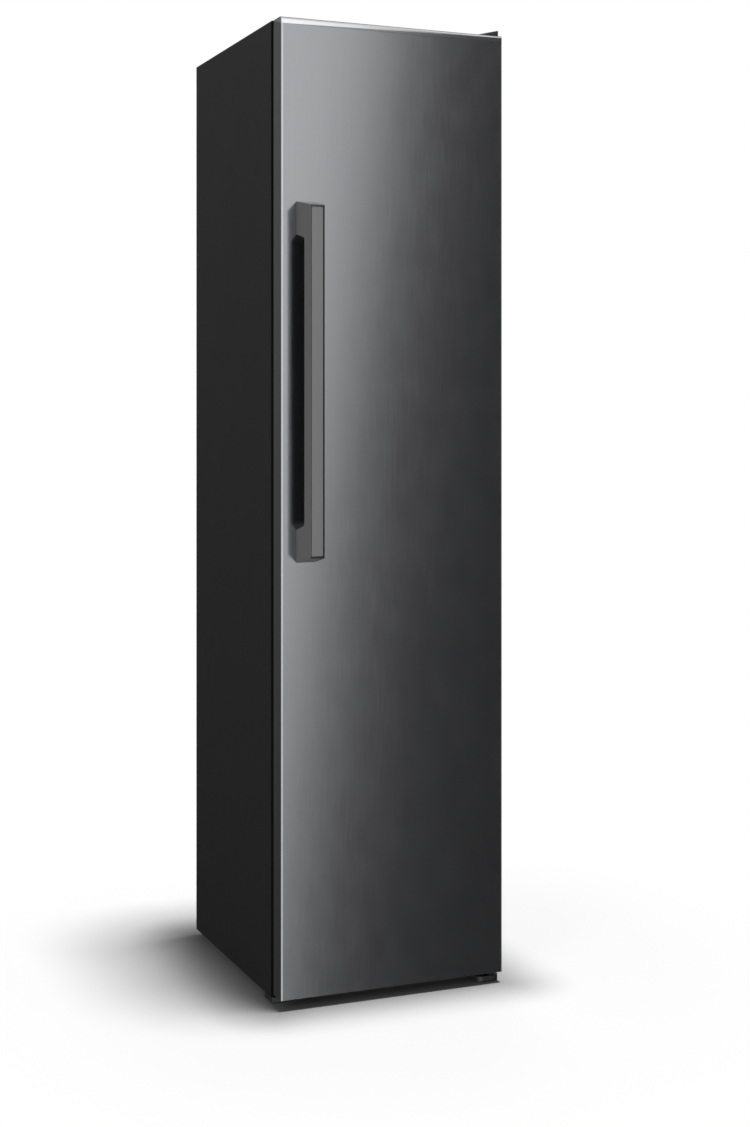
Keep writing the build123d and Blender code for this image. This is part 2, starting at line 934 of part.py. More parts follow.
def evaporation_tray():
    """The shallow tray on top of the compressor."""
    def dish(shrink, low):
        reach_x = tray_half_width - shrink
        reach_y = tray_half_depth - shrink
        slab = block((compressor_x - reach_x, compressor_x + reach_x),
                     (compressor_y - reach_y, compressor_y + reach_y), (low, tray_top))
        return fillet(slab.edges().filter_by(Axis.Z), tray_corner - shrink)
    return dish(0, shell_top) - dish(tray_wall, shell_top + tray_wall)


def suction_pipe():
    """The cold return from evaporator to compressor."""
    reach = evaporator_reach()
    points = [(reach, tube_back, tube_rows[0]), (suction_x, tube_back, tube_rows[0]),
              (suction_x, tube_back, suction_z), (stub_end, tube_back, suction_z)]
    return bent_tube(pipe_radius, points, pipe_bend)


def discharge_pipe():
    """The hot line from compressor to condenser."""
    points = [(stub_end, condenser_y, discharge_z), (condenser_x, condenser_y, discharge_z),
              (condenser_x, condenser_y, condenser_entry)]
    return bent_tube(condenser_radius, points, pipe_bend)


def filter_drier():
    """The copper drier and, soldered to it, the capillary up to the evaporator."""
    start = drier_start
    end = drier_end
    profile = [(start, 0), (start, condenser_radius), (start + drier_taper, drier_radius),
               (end - drier_taper, drier_radius), (end, capillary_radius), (end, 0)]
    face = make_face(Polyline(*profile, close=True))
    body = Pos(0, condenser_y, condenser_entry) * revolve(face, Axis.X)
    turn = end + capillary_run
    y = cabinet_back - capillary_setback
    z = condenser_entry
    route = [(end, condenser_y, z), (turn, condenser_y, z), (turn, y, z), (capillary_x, y, z),
             (capillary_x, tube_front, z), (capillary_x, tube_front, tube_rows[0]),
             (evaporator_reach(), tube_front, tube_rows[0])]
    return Compound(children=[body, bent_tube(capillary_radius, route, capillary_bend)])


def power_inlet():
    """The bare socket that the mains lead plugs into, with its three blades."""
    x = (inlet_x - inlet_width / 2, inlet_x + inlet_width / 2)
    y = (cabinet_back - inlet_depth, cabinet_back)
    body = block(x, y, (base_top, base_top + inlet_height))
    body = body - block((x[0] + inlet_wall, x[1] - inlet_wall), (y[1] - inlet_recess, y[1]),
                        (base_top + inlet_wall, base_top + inlet_height - inlet_wall))
    middle = base_top + inlet_height / 2
    for step in (-1, 0, 1):
        across = inlet_x + step * inlet_blade_pitch
        body = body + block(around(across, inlet_blade_thickness / 2), (y[0] + inlet_wall, y[1] - inlet_wall),
                            around(middle, inlet_blade / 2))
    return body


# ---------------------------------------------------------------- hinges, feet and rollers
def top_hinge_bracket():
    """The plate on top of the cabinet with its arm and the pin down into the door."""
    outer = right - cover_side_gap - cover_wall - cover_side_gap
    front = cabinet_front + hinge_plate_setback
    plate = block((right - hinge_plate_width, outer), (front, front + hinge_plate_depth),
                  (height, height + hinge_sheet))
    arm = block((pin_x - hinge_arm, pin_x + hinge_arm), (pin_y, cabinet_front + hinge_plate_depth),
                (height, height + hinge_sheet))
    tip = rod(hinge_arm, (pin_x, pin_y, height), (pin_x, pin_y, height + hinge_sheet))
    pin = rod(pin_radius, (pin_x, pin_y, door_top - pin_reach), (pin_x, pin_y, height + hinge_sheet))
    return drilled(plate + arm + tip) + pin


def top_hinge_cover():
    """The low cover over the top hinge, rounded at its inner front corner and sloping inwards."""
    def shell(shrink):
        x = (right - cover_width + shrink, right - cover_side_gap - shrink)
        y = (door_front + cover_setback + shrink, cabinet_front + cover_reach - shrink)
        corners = {0: cover_corner - shrink, 1: cover_small_corner - shrink, 2: cover_small_corner - shrink,
                   3: cover_small_corner - shrink}
        plan = rounded([(x[0], y[0]), (x[1], y[0]), (x[1], y[1]), (x[0], y[1])], corners)
        body = prism_z(plan, (height, height + cover_height))
        slope = [(left, height), (right, height), (right, height + cover_height - shrink),
                 (right - cover_width, height + cover_low_height - shrink),
                 (left, height + cover_low_height - shrink)]
        wedge = extrude(Plane.XZ.offset(-cabinet_back) * make_face(Polyline(*slope, close=True)), total_depth)
        return body & wedge
    return shell(0) - shell(cover_wall)


def skirted_plate(plan):
    """A plate under the cabinet with a skirt all round, open below."""
    top = cabinet_bottom
    outer = prism_z(plan, (top - bracket_skirt, top))
    inner_plan = offset(plan, -bracket_sheet, kind=Kind.INTERSECTION)
    return outer - prism_z(inner_plan, (top - bracket_skirt, top - bracket_sheet))


def bottom_hinge_bracket():
    """The bracket under the right front corner with the lower pin, its collar and the foot's nut."""
    x = (right - bottom_bracket_width, right)
    y = (door_front + bottom_bracket_front, cabinet_front + bottom_bracket_depth)
    corner = bracket_corner
    plan = rounded([(x[0], y[0]), (x[1], y[0]), (x[1], y[1]), (x[0], y[1])], {0: corner, 1: corner})
    bracket = skirted_plate(plan)
    low = cabinet_bottom - bracket_sheet
    pin = post(pin_radius, pin_x, pin_y, (low, cap_bottom + pin_reach))
    collar = post(collar_radius, pin_x, pin_y, (low, cap_bottom - collar_play))
    return threaded(drilled(bracket + pin + collar), right_foot)


def foot_bracket_left():
    """The small bracket that carries the left foot."""
    x = (left, left + left_bracket_width)
    y = (cabinet_front, cabinet_front + bottom_bracket_depth)
    plan = rounded([(x[0], y[0]), (x[1], y[0]), (x[1], y[1]), (x[0], y[1])])
    return threaded(drilled(skirted_plate(plan)), left_foot)


def threaded(bracket, foot):
    """A bracket with the running hole for its foot's stud."""
    x, y = foot
    return bracket - rod(stud_radius + stud_play, (x, y, 0), (x, y, cabinet_bottom))


def stud_low():
    """The lower end of a stud, just above the bottom of its socket."""
    return pad_height - pad_socket + collar_play


def stud_top():
    """The upper end of a stud."""
    return stud_low() + thread_grip + foot_travel


def foot_pad(foot):
    """A round foot pad with the socket that its stud turns in."""
    x, y = foot
    pad = rod(pad_radius, (x, y, 0), (x, y, pad_height))
    rim = [edge for edge in pad.edges().filter_by(GeomType.CIRCLE) if edge.center().Z > pad_height / 2]
    pad = chamfer(rim, pad_taper)
    return pad - rod(stud_radius + stud_play, (x, y, pad_height - pad_socket), (x, y, pad_height))


def foot_stud(foot):
    """The screw stud of one foot."""
    x, y = foot
    return rod(stud_radius, (x, y, stud_low()), (x, y, stud_top()))


def roller_brackets():
    """For each roller, a plate on the floor with two ears and the axle between them."""
    inner = roller_width / 2 + roller_side_play
    outer = inner + ear_thickness
    top = base_top + ear_thickness
    reach_x = outer + roller_plate_margin_x
    reach_y = roller_radius + well_play + roller_plate_margin_y
    plate = block(around(roller_x, reach_x), around(roller_y, reach_y), (base_top, top))
    well = around(roller_y, roller_radius + well_play)
    plate = plate - block(around(roller_x, inner), well, (base_top, top))
    ear_top = roller_radius + ear_half_depth
    for side in (-1, 1):
        ear = block((roller_x + side * inner, roller_x + side * outer), around(roller_y, ear_half_depth),
                    (roller_radius - ear_drop, ear_top))
        plate = plate + ear
    start, end = around(roller_x, outer)
    axle = rod(axle_radius, (start, roller_y, roller_radius), (end, roller_y, roller_radius))
    bracket = drilled(plate) + axle
    return Compound(children=[bracket, mirrored(bracket)])


def roller(x):
    """One rear roller."""
    start, end = [(across, roller_y, roller_radius) for across in around(x, roller_width / 2)]
    return rod(roller_radius, start, end) - rod(axle_radius + axle_play, start, end)


# ---------------------------------------------------------------- door
def door_plan(shrink, y_back):
    """The door's section seen from above, with rounded front corners."""
    x = (left + shrink, right - shrink)
    front = door_front + shrink
    corners = {0: skin_radius - shrink, 1: skin_radius - shrink}
    return rounded([(x[0], front), (x[1], front), (x[1], y_back), (x[0], y_back)], corners)


def door_skin():
    """The steel front, folded round both sides and in at the back."""
    pan = prism_z(door_plan(0, door_back), (door_bottom, skin_top))
    pan = pan - prism_z(door_plan(sheet, rim_back), (door_bottom, skin_top))
    return pan - block((left + skin_return, right - skin_return), (rim_back, door_back),
                       (door_bottom, skin_top))


def door_top_cap():
    """The cap over the door's top edge, rounded forwards."""
    z = (skin_top, door_top)
    side_view = rounded([(door_front, z[0]), (door_back, z[0]), (door_back, z[1]), (door_front, z[1])],
                        {3: top_cap_round})
    cap = prism_x(side_view, (left, right)) & prism_z(door_plan(0, door_back), z)
    return cap - rod(bush_radius, (pin_x, pin_y, door_top - bush_length), (pin_x, pin_y, door_top))


def door_bottom_cap():
    """The cap inside the lower edge of the skin."""
    cap = prism_z(door_plan(sheet, rim_back), (cap_bottom, cap_top))
    return cap - rod(bush_radius, (pin_x, pin_y, cap_bottom), (pin_x, pin_y, cap_top))


def hinge_bushes():
    """The plastic bushes that the two pins turn in."""
    bushes = []
    for low, high in ((door_top - bush_length, door_top), (cap_bottom, cap_top)):
        bush = rod(bush_radius, (pin_x, pin_y, low), (pin_x, pin_y, high))
        bushes.append(bush - rod(pin_radius + bush_play, (pin_x, pin_y, low), (pin_x, pin_y, high)))
    return Compound(children=bushes)


def door_liner():
    """The white inner door with its plug, two upright dykes and the lugs for the bins."""
    wall = door_liner_sheet
    rim = block((left + sheet, right - sheet), (rim_front, rim_back), (cap_top, skin_top))
    plug_z = (cavity_floor + plug_gap, cavity_top - plug_gap)
    solid = rim + block((-plug_side, plug_side), (rim_front, plug_back), plug_z)
    hollow = block((-plug_side + wall, plug_side - wall), (rim_front, plug_back - wall),
                   (plug_z[0] + wall, plug_z[1] - wall))
    dyke_z = (cavity_floor + dyke_end_gap, cavity_top - dyke_end_gap)
    for side in (-1, 1):
        solid = solid + block((side * dyke_inner, side * dyke_outer), (rim_front, dyke_back), dyke_z)
        hollow = hollow + block((side * (dyke_inner + wall), side * (dyke_outer - wall)),
                                (plug_back - 2 * wall, dyke_back - wall),
                                (dyke_z[0] + wall, dyke_z[1] - wall))
    shell = solid - hollow
    for level in bin_levels:
        for side in (-1, 1):
            lug = block((side * (dyke_inner + wall / 2), side * (dyke_inner - bin_lug)),
                        (plug_back + bin_lug_margin, dyke_back - bin_lug_margin),
                        (level - bin_lug_height, level))
            shell = shell + lug
    return shell


def door_foam():
    """The rigid insulation of the door, with the part inside the plug."""
    slab = prism_z(door_plan(sheet, rim_front), (cap_top, skin_top))
    wall = door_liner_sheet
    plug = block((-plug_side + wall, plug_side - wall), (rim_front, plug_back - wall),
                 (cavity_floor + plug_gap + wall, cavity_top - plug_gap - wall))
    return slab + plug


def door_gasket():
    """The magnetic seal round the back of the door."""
    x = (left + gasket_inset, right - gasket_inset)
    z = (door_bottom + gasket_inset, door_top - gasket_inset)
    y = (rim_back, cabinet_front - gasket_play)
    outer = block(x, y, z)
    return outer - block((x[0] + gasket_width, x[1] - gasket_width), y,
                         (z[0] + gasket_width, z[1] - gasket_width))


def door_bin(level):
    """One open bin between the dykes."""
    half = dyke_inner - bin_play
    y = (plug_back + gasket_play, dyke_back)
    outer = block((-half, half), y, (level, level + bin_height))
    inner = block((-half + bin_wall, half - bin_wall), (y[0] + bin_wall, y[1] - bin_wall),
                  (level + bin_wall, level + bin_height))
    return outer - inner


# ---------------------------------------------------------------- handle
def handle_plan(y_front):
    """The handle seen from above: wider at the door, rounded at its front edges."""
    root = left + handle_side_gap
    slant = (handle_root_width - handle_width) / 2
    points = [(root, door_front), (root + slant, y_front), (root + slant + handle_width, y_front),
              (root + handle_root_width, door_front)]
    return rounded(points, {1: handle_edge_round, 2: handle_edge_round})


def handle_side_view():
    """The handle seen from the side: a bar on two posts with raked ends."""
    low = handle_low
    high = handle_low + handle_length
    rake = handle_rake
    points = [(door_front, low), (handle_front, low + rake), (handle_front, high - rake), (door_front, high)]
    outer = rounded(points, {1: handle_end_round, 2: handle_end_round})
    back = handle_front + handle_bar_thickness
    inner_low = low + handle_post
    inner_high = high - handle_post
    hollow = [(door_front, inner_low), (back, inner_low + handle_post_slant),
              (back, inner_high - handle_post_slant), (door_front, inner_high)]
    return outer - rounded(hollow, {1: handle_end_round, 2: handle_end_round})


def handle_face_place():
    """The face plate's X and Z spans."""
    root = left + handle_side_gap + (handle_root_width - handle_width) / 2
    x = (root + face_margin, root + handle_width - face_margin)
    z = (handle_low + handle_rake + face_margin, handle_low + handle_length - handle_rake - face_margin)
    return x, z


def face_slab(y):
    """The face plate's outline between two depths."""
    x, z = handle_face_place()
    slab = block(x, y, z)
    return fillet(slab.edges().filter_by(Axis.Y), face_corner)


def handle_body():
    """The bar and its two posts, with the shallow recess for the face plate."""
    across = (left + handle_side_gap, left + handle_side_gap + handle_root_width)
    upright = prism_z(handle_plan(handle_front), (handle_low, handle_low + handle_length))
    body = prism_x(handle_side_view(), across) & upright
    return body - face_slab((handle_front, handle_front + face_thickness))


def handle_face():
    """The brushed plate set in the front of the bar."""
    return face_slab((handle_front, handle_front + face_thickness))


# ---------------------------------------------------------------- everything
def main():
    os.makedirs("parts", exist_ok=True)
    panel = side_panel()
    save(panel, "side_panel_left")
    save(mirrored(panel), "side_panel_right")
    singles = [top_panel, rear_panel, base_plate, machine_room_housing, cabinet_foam, inner_liner,
               condenser_tube, evaporator, defrost_heater, drip_channel, drain_tube, evaporator_cover,
               fan_motor, fan_blade, shelf_trims, freezer_basket, control_housing, lamp_lens, control_knob,
               freeze_button, compressor, compressor_grommets, terminal_cover, evaporation_tray,
               suction_pipe, discharge_pipe, filter_drier, power_inlet, top_hinge_bracket, top_hinge_cover,
               bottom_hinge_bracket, foot_bracket_left, roller_brackets, door_skin, door_top_cap,
               door_bottom_cap, hinge_bushes, door_liner, door_foam, door_gasket, handle_body, handle_face]
    for make in singles:
        save(make(), make.__name__)
    save(Compound(children=[screw(*place) for place in screw_places()]), "cabinet_screws")
    for name, foot in (("left", left_foot), ("right", right_foot)):
        save(foot_pad(foot), f"foot_pad_{name}")
        save(foot_stud(foot), f"foot_stud_{name}")
    save(roller(-roller_x), "roller_left")
    save(roller(roller_x), "roller_right")
    for index, level in enumerate(shelf_levels, 1):
        save(glass_shelf(level), f"glass_shelf_{index}")
    for index, level in enumerate(bin_levels, 1):
        save(door_bin(level), f"door_bin_{index}")


main()
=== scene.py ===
"""An upright freezer: its finishes, its detailed pieces and the studio it stands in.

Metres. X runs to the right seen from the front, Y to the back, Z up, from the floor under the middle.
"""

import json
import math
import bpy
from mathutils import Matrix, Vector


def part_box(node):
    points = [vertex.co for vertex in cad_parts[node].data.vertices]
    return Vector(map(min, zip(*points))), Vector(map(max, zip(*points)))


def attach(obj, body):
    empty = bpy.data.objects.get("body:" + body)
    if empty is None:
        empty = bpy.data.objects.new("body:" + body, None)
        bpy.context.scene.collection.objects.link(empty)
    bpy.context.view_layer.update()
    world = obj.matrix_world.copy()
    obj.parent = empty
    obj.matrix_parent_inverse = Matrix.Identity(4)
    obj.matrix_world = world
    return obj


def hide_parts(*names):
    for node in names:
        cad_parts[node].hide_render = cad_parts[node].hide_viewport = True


bl_info = {
    "name": "Upright freezer",
    "version": (1, 0, 0),
    "blender": (4, 5, 0),
    "location": "3D View > Sidebar > Freezer",
    "description": "Dresses the frame of an upright freezer with its finishes and detailed pieces",
    "category": "Object",
}

import bmesh
import bpy
from bpy.props import FloatProperty, FloatVectorProperty, IntProperty, PointerProperty
from mathutils import Matrix, Vector

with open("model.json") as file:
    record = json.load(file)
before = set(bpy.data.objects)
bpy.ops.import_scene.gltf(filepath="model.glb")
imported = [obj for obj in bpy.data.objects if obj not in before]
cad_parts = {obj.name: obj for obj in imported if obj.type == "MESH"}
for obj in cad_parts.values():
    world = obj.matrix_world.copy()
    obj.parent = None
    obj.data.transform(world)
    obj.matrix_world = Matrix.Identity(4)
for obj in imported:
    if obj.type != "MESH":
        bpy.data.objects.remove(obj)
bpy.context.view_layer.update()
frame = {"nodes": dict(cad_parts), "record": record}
finishes = {}

mm = 0.001
quarter = math.pi / 2
whole = 4 * quarter
white = (1, 1, 1, 1)
backwards = Vector((0, 1, 0))

# Points this near are merged, faces this near to level are joined, and edges this steep stay sharp.
weld = 0.004 * mm
flatness = math.radians(0.4)
crease = math.radians(32)


# ---------------------------------------------------------------- sizes, colours and light to change
def colour(name, description, default):
    """A colour that a user may change."""
    return FloatVectorProperty(name=name, description=description, default=default, size=3,
                               subtype="COLOR", min=0, max=1)


def length(name, description, default):
    """A size that a user may change."""
    return FloatProperty(name=name, description=description, default=default, min=0, unit="LENGTH")


def amount(name, description, default):
    """A plain number that a user may change."""
    return FloatProperty(name=name, description=description, default=default, min=0)


class FreezerColours(bpy.types.PropertyGroup):
    """The colours of the finishes."""

    door: colour("Door", "Brushed dark steel of the door", (0.235, 0.240, 0.248))
    door_cap: colour("Door cap", "Satin silver cap on the door's top edge", (0.60, 0.60, 0.61))
    handle_face: colour("Handle face", "Brushed plate in the front of the handle", (0.205, 0.207, 0.21))
    handle_body: colour("Handle body", "Satin grey of the handle's bar and posts", (0.105, 0.105, 0.107))
    # Painted shade: the dark band round the handle's face stands for shade along its edges.
    handle_painted_shade: colour("Handle rim", "Dark band round the handle's face", (0.014, 0.014, 0.015))
    cabinet: colour("Cabinet", "Charcoal coating of the cabinet's sides and top", (0.010, 0.010, 0.011))
    rear: colour("Rear sheet", "Grey coating of the rear panel", (0.15, 0.15, 0.155))
    liner: colour("Liner", "White plastic inside", (0.80, 0.82, 0.83))
    clear: colour("Clear plastic", "Bins and basket", (0.84, 0.93, 0.96))
    glass: colour("Shelf glass", "Toughened glass of the shelves", (0.86, 0.96, 0.93))
    trim: colour("Shelf trim", "Satin grey rail on each shelf's front edge", (0.58, 0.60, 0.62))
    black: colour("Black plastic", "Hinge cover, feet, rollers and sockets", (0.018, 0.018, 0.019))
    gasket: colour("Gasket", "Soft seal round the door", (0.12, 0.12, 0.123))
    copper: colour("Copper", "Pipes of the cooling circuit", (0.72, 0.36, 0.22))
    zinc: colour("Zinc", "Screws, axles and galvanised sheet", (0.60, 0.61, 0.63))
    foam: colour("Foam", "Rigid insulation", (0.80, 0.70, 0.46))


class FreezerSizes(bpy.types.PropertyGroup):
    """The sizes of the rounded edges, folds and small pieces."""

    sheet: length("Sheet", "Thickness of the coated steel", 0.8 * mm)
    side_bend: length("Side bend", "Outside radius of the cabinet's front bends", 3.0 * mm)
    liner_sheet: length("Liner", "Thickness of the white liners", 1.6 * mm)
    liner_round: length("Liner rounding", "Radius of the cold space's inner corners", 9.0 * mm)
    door_form_round: length("Door form rounding", "Radius of the forms in the door's liner", 6.0 * mm)
    handle_edge: length("Handle edge", "Rounding of the handle's small edges", 0.7 * mm)
    bin_wall: length("Bin wall", "Thickness of a door bin's wall", 2.2 * mm)
    bin_corner: length("Bin corner", "Radius of a bin's upright corners", 14.0 * mm)
    bin_rim: length("Bin rim", "How far a bin's rim stands out from its wall", 1.2 * mm)
    basket_wall: length("Basket wall", "Thickness of the basket's wall", 2.5 * mm)
    basket_rim: length("Basket rim", "How far the basket's rim stands out", 5.0 * mm)
    bead: length("Bead", "Radius of the stiffening beads on bins and basket", 1.1 * mm)
    head_radius: length("Screw head", "Radius of a pan-head screw's head", 5.0 * mm)
    head_height: length("Screw head height", "Height of a pan-head screw's head", 3.0 * mm)
    panel_screw: length("Panel screw", "Radius of the rear panel's screw heads", 4.0 * mm)
    press_depth: length("Press depth", "Depth of the forms pressed in the rear panel", 2.4 * mm)
    thread_pitch: length("Thread pitch", "Rise of a foot's thread for each turn", 1.5 * mm)
    thread_depth: length("Thread depth", "Depth of a foot's thread", 0.55 * mm)
    scallops: IntProperty(name="Scallops", description="Finger hollows round the knob", default=18, min=3)
    numerals: IntProperty(name="Numerals", description="Numbers round the knob", default=5, min=2)


class FreezerStudio(bpy.types.PropertyGroup):
    """The floor, the lamps and the surroundings."""

    fill: amount("Fill", "Strength of the light from all round", 0.20)
    overhead: amount("Overhead light", "Strength of the soft light from nearly straight above", 5.2)
    window_lamp: amount("Window lamp", "Power of the broad lamp in front on the left, in watts", 40.0)
    back_lamp: amount("Back lamp", "Power of the broad lamp behind, in watts", 40.0)
    walls: amount("Walls", "Grey of the studio's walls as metal mirrors them", 0.065)
    wall_lift: amount("Wall lift", "How much lighter the back walls are at their top", 0.16)
    screen: amount("Screen", "Brightness of the tall slanted screen that the door mirrors", 1.7)
    screen_start: amount("Screen start", "Where the screen starts, in degrees right of the front", 0.0)
    screen_end: amount("Screen end", "Where its right edge meets the floor, in degrees", 17.8)
    screen_slant: amount("Screen slant", "How far its right edge leans, in degrees for each metre up", 1.27)
    screen_fade: amount("Screen fade", "Width over which its edges fade, in degrees", 4.0)
    side_screen: amount("Side screen", "Brightness of the soft screen in front on the left", 1.4)


# ---------------------------------------------------------------- node trees
class Signal:
    """A node's output. Python's arithmetic on it adds Math nodes."""

    def __init__(self, tree, socket):
        self.tree = tree
        self.socket = socket

    def maths(self, operation, first, second=0.0):
        """One Math node."""
        return self.tree.node("ShaderNodeMath", {"operation": operation}, {0: first, 1: second})

    def __add__(self, other):
        return self.maths("ADD", self, other)

    def __radd__(self, other):
        return self.maths("ADD", other, self)

    def __sub__(self, other):
        return self.maths("SUBTRACT", self, other)

    def __rsub__(self, other):
        return self.maths("SUBTRACT", other, self)

    def __mul__(self, other):
        return self.maths("MULTIPLY", self, other)

    def __rmul__(self, other):
        return self.maths("MULTIPLY", other, self)

    def __pow__(self, other):
        return self.maths("POWER", self, other)

    def __rpow__(self, other):
        return self.maths("POWER", other, self)


class Tree:
    """A node tree with one method that adds any node."""

    def __init__(self, tree):
        self.tree = tree

    def node(self, kind, settings=None, sockets=None, output=0):
        """Adds a node, sets its settings and then its sockets, and gives one of its outputs."""
        made = self.tree.nodes.new(kind)
        for name, value in (settings or {}).items():
            if name == "stops":
                set_stops(made.color_ramp, value)
            else:
                setattr(made, name, value)
        for name, value in (sockets or {}).items():
            if isinstance(value, Signal):
                self.tree.links.new(value.socket, made.inputs[name])
            else:
                made.inputs[name].default_value = value
        return Signal(self, made.outputs[output]) if len(made.outputs) else None

    def vector(self, operation, first, second=(0, 0, 0), output=0):
        """One Vector Math node."""
        return self.node("ShaderNodeVectorMath", {"operation": operation}, {0: first, 1: second}, output)


def set_stops(ramp, stops):
    """A colour ramp's stops, as places and greys."""
    while len(ramp.elements) > 1:
        ramp.elements.remove(ramp.elements[-1])
    for index, (place, grey) in enumerate(stops):
        stop = ramp.elements[0] if index == 0 else ramp.elements.new(place)
        stop.position = place
        stop.color = (grey, grey, grey, 1)


class Finish(Tree):
    """A material whose patterns lie in the object's own coordinates."""

    def __init__(self, name):
        self.material = bpy.data.materials.new(name)
        self.material.use_nodes = True
        self.material.node_tree.nodes.clear()
        super().__init__(self.material.node_tree)
        self.place = self.node("ShaderNodeTexCoord", output="Object")

    def axis(self, letter):
        """How far along X, Y or Z a point of the object lies."""
        return self.node("ShaderNodeSeparateXYZ", {}, {0: self.place}, letter)

    def noise(self, waves, upright=None, detail=2.0):
        """Noise between nought and one, with so many waves in a metre, or another number upwards."""
        stretched = self.vector("MULTIPLY", self.place, (waves, waves, upright or waves))
        return self.node("ShaderNodeTexNoise", {}, {"Vector": stretched, "Scale": 1.0, "Detail": detail})

    def cells(self, scale, output=0):
        """A Voronoi pattern with so many cells in a metre."""
        sockets = {"Vector": self.place, "Scale": scale}
        return self.node("ShaderNodeTexVoronoi", {}, sockets, output)

    def faded(self, value, start, end):
        """Nought at the start, one at the end, and smooth between."""
        return self.node("ShaderNodeMapRange", {"interpolation_type": "SMOOTHSTEP"},
                         {"Value": value, "From Min": start, "From Max": end})

    def blend(self, first, second, factor):
        """One colour turning into another."""
        first, second = (end if isinstance(end, Signal) else (*end, 1) for end in (first, second))
        sockets = {0: factor, 6: first, 7: second}
        return self.node("ShaderNodeMix", {"data_type": "RGBA"}, sockets, output=2)

    def varied(self, shade, share, factor):
        """A colour that wanders by a share either way."""
        high = [min(1.0, channel) for channel in toned(shade, 1 + share)]
        return self.blend(toned(shade, 1 - share), high, factor)

    def shader(self, sockets, height=None, relief=0.0):
        """A shader, with a bump of so many metres where a height is given."""
        sockets = dict(sockets)
        if height is not None:
            bump = {"Strength": 1.0, "Distance": relief, "Height": height}
            sockets["Normal"] = self.node("ShaderNodeBump", {}, bump)
        return self.node("ShaderNodeBsdfPrincipled", {}, sockets)

    def surface(self, sockets, height=None, relief=0.0):
        """The material with one such shader on it."""
        self.node("ShaderNodeOutputMaterial", {}, {"Surface": self.shader(sockets, height, relief)})
        return self.material


# ---------------------------------------------------------------- finishes
def toned(shade, share):
    """A colour at a share of its strength."""
    return [channel * share for channel in shade]


def swing(signal, width):
    """A signal's swing to both sides of nought, so wide in all."""
    return (signal - 0.5) * width


def brushed(name, shade, roughness, folded=None):
    """Steel rubbed upright: hair lines, faint streaks and slow clouds.

    A node that is folded from such a sheet gets a painted highlight: a brighter colour along each front edge.
    """
    metal = Finish(name)
    hairs = metal.noise(1900, 14)
    streaks = metal.noise(240, 2.5)
    clouds = metal.noise(26, 14)
    colour = metal.varied(shade, 0.12, hairs * 0.5 + streaks * 0.25 + clouds * 0.25)
    # Painted highlight: the colour turns brighter along the node's upright front edges.
    if folded:
        colour = metal.blend(colour, toned(shade, 1.75), painted_edge_highlight(metal, folded))
    rough = roughness + swing(hairs, 0.10) + swing(clouds, 0.03)
    return metal.surface({"Base Color": colour, "Metallic": 1.0, "Roughness": rough}, hairs, 0.001 * mm)


def painted_edge_highlight(metal, node):
    """The mask of a painted highlight: one on the two upright edges of a node's front and nought elsewhere.
    """
    low, high = box(node)
    side_end = 5.2 * mm
    side_full = 3.6 * mm
    depth_end = 2.4 * mm
    depth_full = 1.4 * mm
    across = metal.axis("X")
    inward = across.maths("MINIMUM", across - low.x, high.x - across)
    beside = metal.faded(inward, side_end, side_full)
    return beside * metal.faded(metal.axis("Y"), low.y + depth_end, low.y + depth_full)


def lacquered(name, shade, rim, roughness):
    """Satin lacquer with painted shade: darker in the narrow band round the handle's front, but not on its
    left.
    """
    lacquer = Finish(name)
    low = box("handle_body")[0]
    shade_band_full = 2.2 * mm
    shade_band_end = 3.4 * mm
    left_end = 7.0 * mm
    left_full = 5.5 * mm
    least = 0.86
    # Painted shade: the band round the front is darker on the right, top and bottom; the lit left is kept
    # plain.
    left = lacquer.faded(lacquer.axis("X"), low.x + left_end, low.x + left_full)
    behind = lacquer.faded(lacquer.axis("Y"), low.y + shade_band_full, low.y + shade_band_end)
    plain = behind.maths("MAXIMUM", behind, left)
    speckle = lacquer.noise(2200)
    clouds = lacquer.noise(14, detail=3)
    tone = plain * (least + speckle * 0.1 + clouds * 0.18)
    return lacquer.surface({"Base Color": lacquer.blend(rim, shade, tone),
                            "Roughness": roughness + swing(clouds, 0.12)}, speckle, 0.008 * mm)


def capped(name, shade, below_shade, roughness):
    """Satin silver with a fine speckle and a dark top edge; below a line that rises to the right and back it
    takes the door's colour, so the silver band narrows as a painted highlight.
    """
    metal = Finish(name)
    low, high = box("door_top_cap")
    rise_right = 10 * mm
    rise_back = 13 * mm
    seam = 0.3 * mm
    edge_dark = 1.6 * mm
    edge_end = 2.6 * mm
    least = 0.86
    height = metal.axis("Z")
    risen = (metal.axis("X") - low.x) * (rise_right / (high.x - low.x))
    risen = risen + (metal.axis("Y") - low.y) * (rise_back / (high.y - low.y))
    # Painted highlight: below this slanted line the cap takes the door's colour, so the silver narrows as the
    # highlight would.
    silver = metal.faded(height - risen, low.z - seam, low.z + seam)
    edge = metal.faded(height, high.z - edge_dark, high.z - edge_end)
    speckle = metal.noise(2400)
    clouds = metal.noise(16)
    tone = edge * (least + speckle * 0.14 + clouds * 0.1)
    colour = metal.blend(below_shade, metal.blend(toned(shade, 0.11), shade, tone), silver)
    rough = roughness + swing(speckle, 0.06)
    return metal.surface({"Base Color": colour, "Metallic": 1.0, "Roughness": rough}, speckle, 0.002 * mm)


def powder(paint, pebble):
    """The pebbles of a powder coating, the patches that are rubbed, and both mixed."""
    pebbles = paint.noise(pebble)
    rubbed = paint.noise(9, 6, detail=4)
    return pebbles, rubbed, pebbles * 0.5 + rubbed * 0.5


def coated(name, shade, roughness, pebble=1000, relief=0.03):
    """Powder-coated steel with its pebbled surface and faint rubbed patches."""
    paint = Finish(name)
    pebbles, rubbed, mix = powder(paint, pebble)
    rough = roughness + swing(rubbed, 0.22) + swing(pebbles, 0.1)
    return paint.surface({"Base Color": paint.varied(shade, 0.16, mix), "Roughness": rough},
                         pebbles, relief * mm)


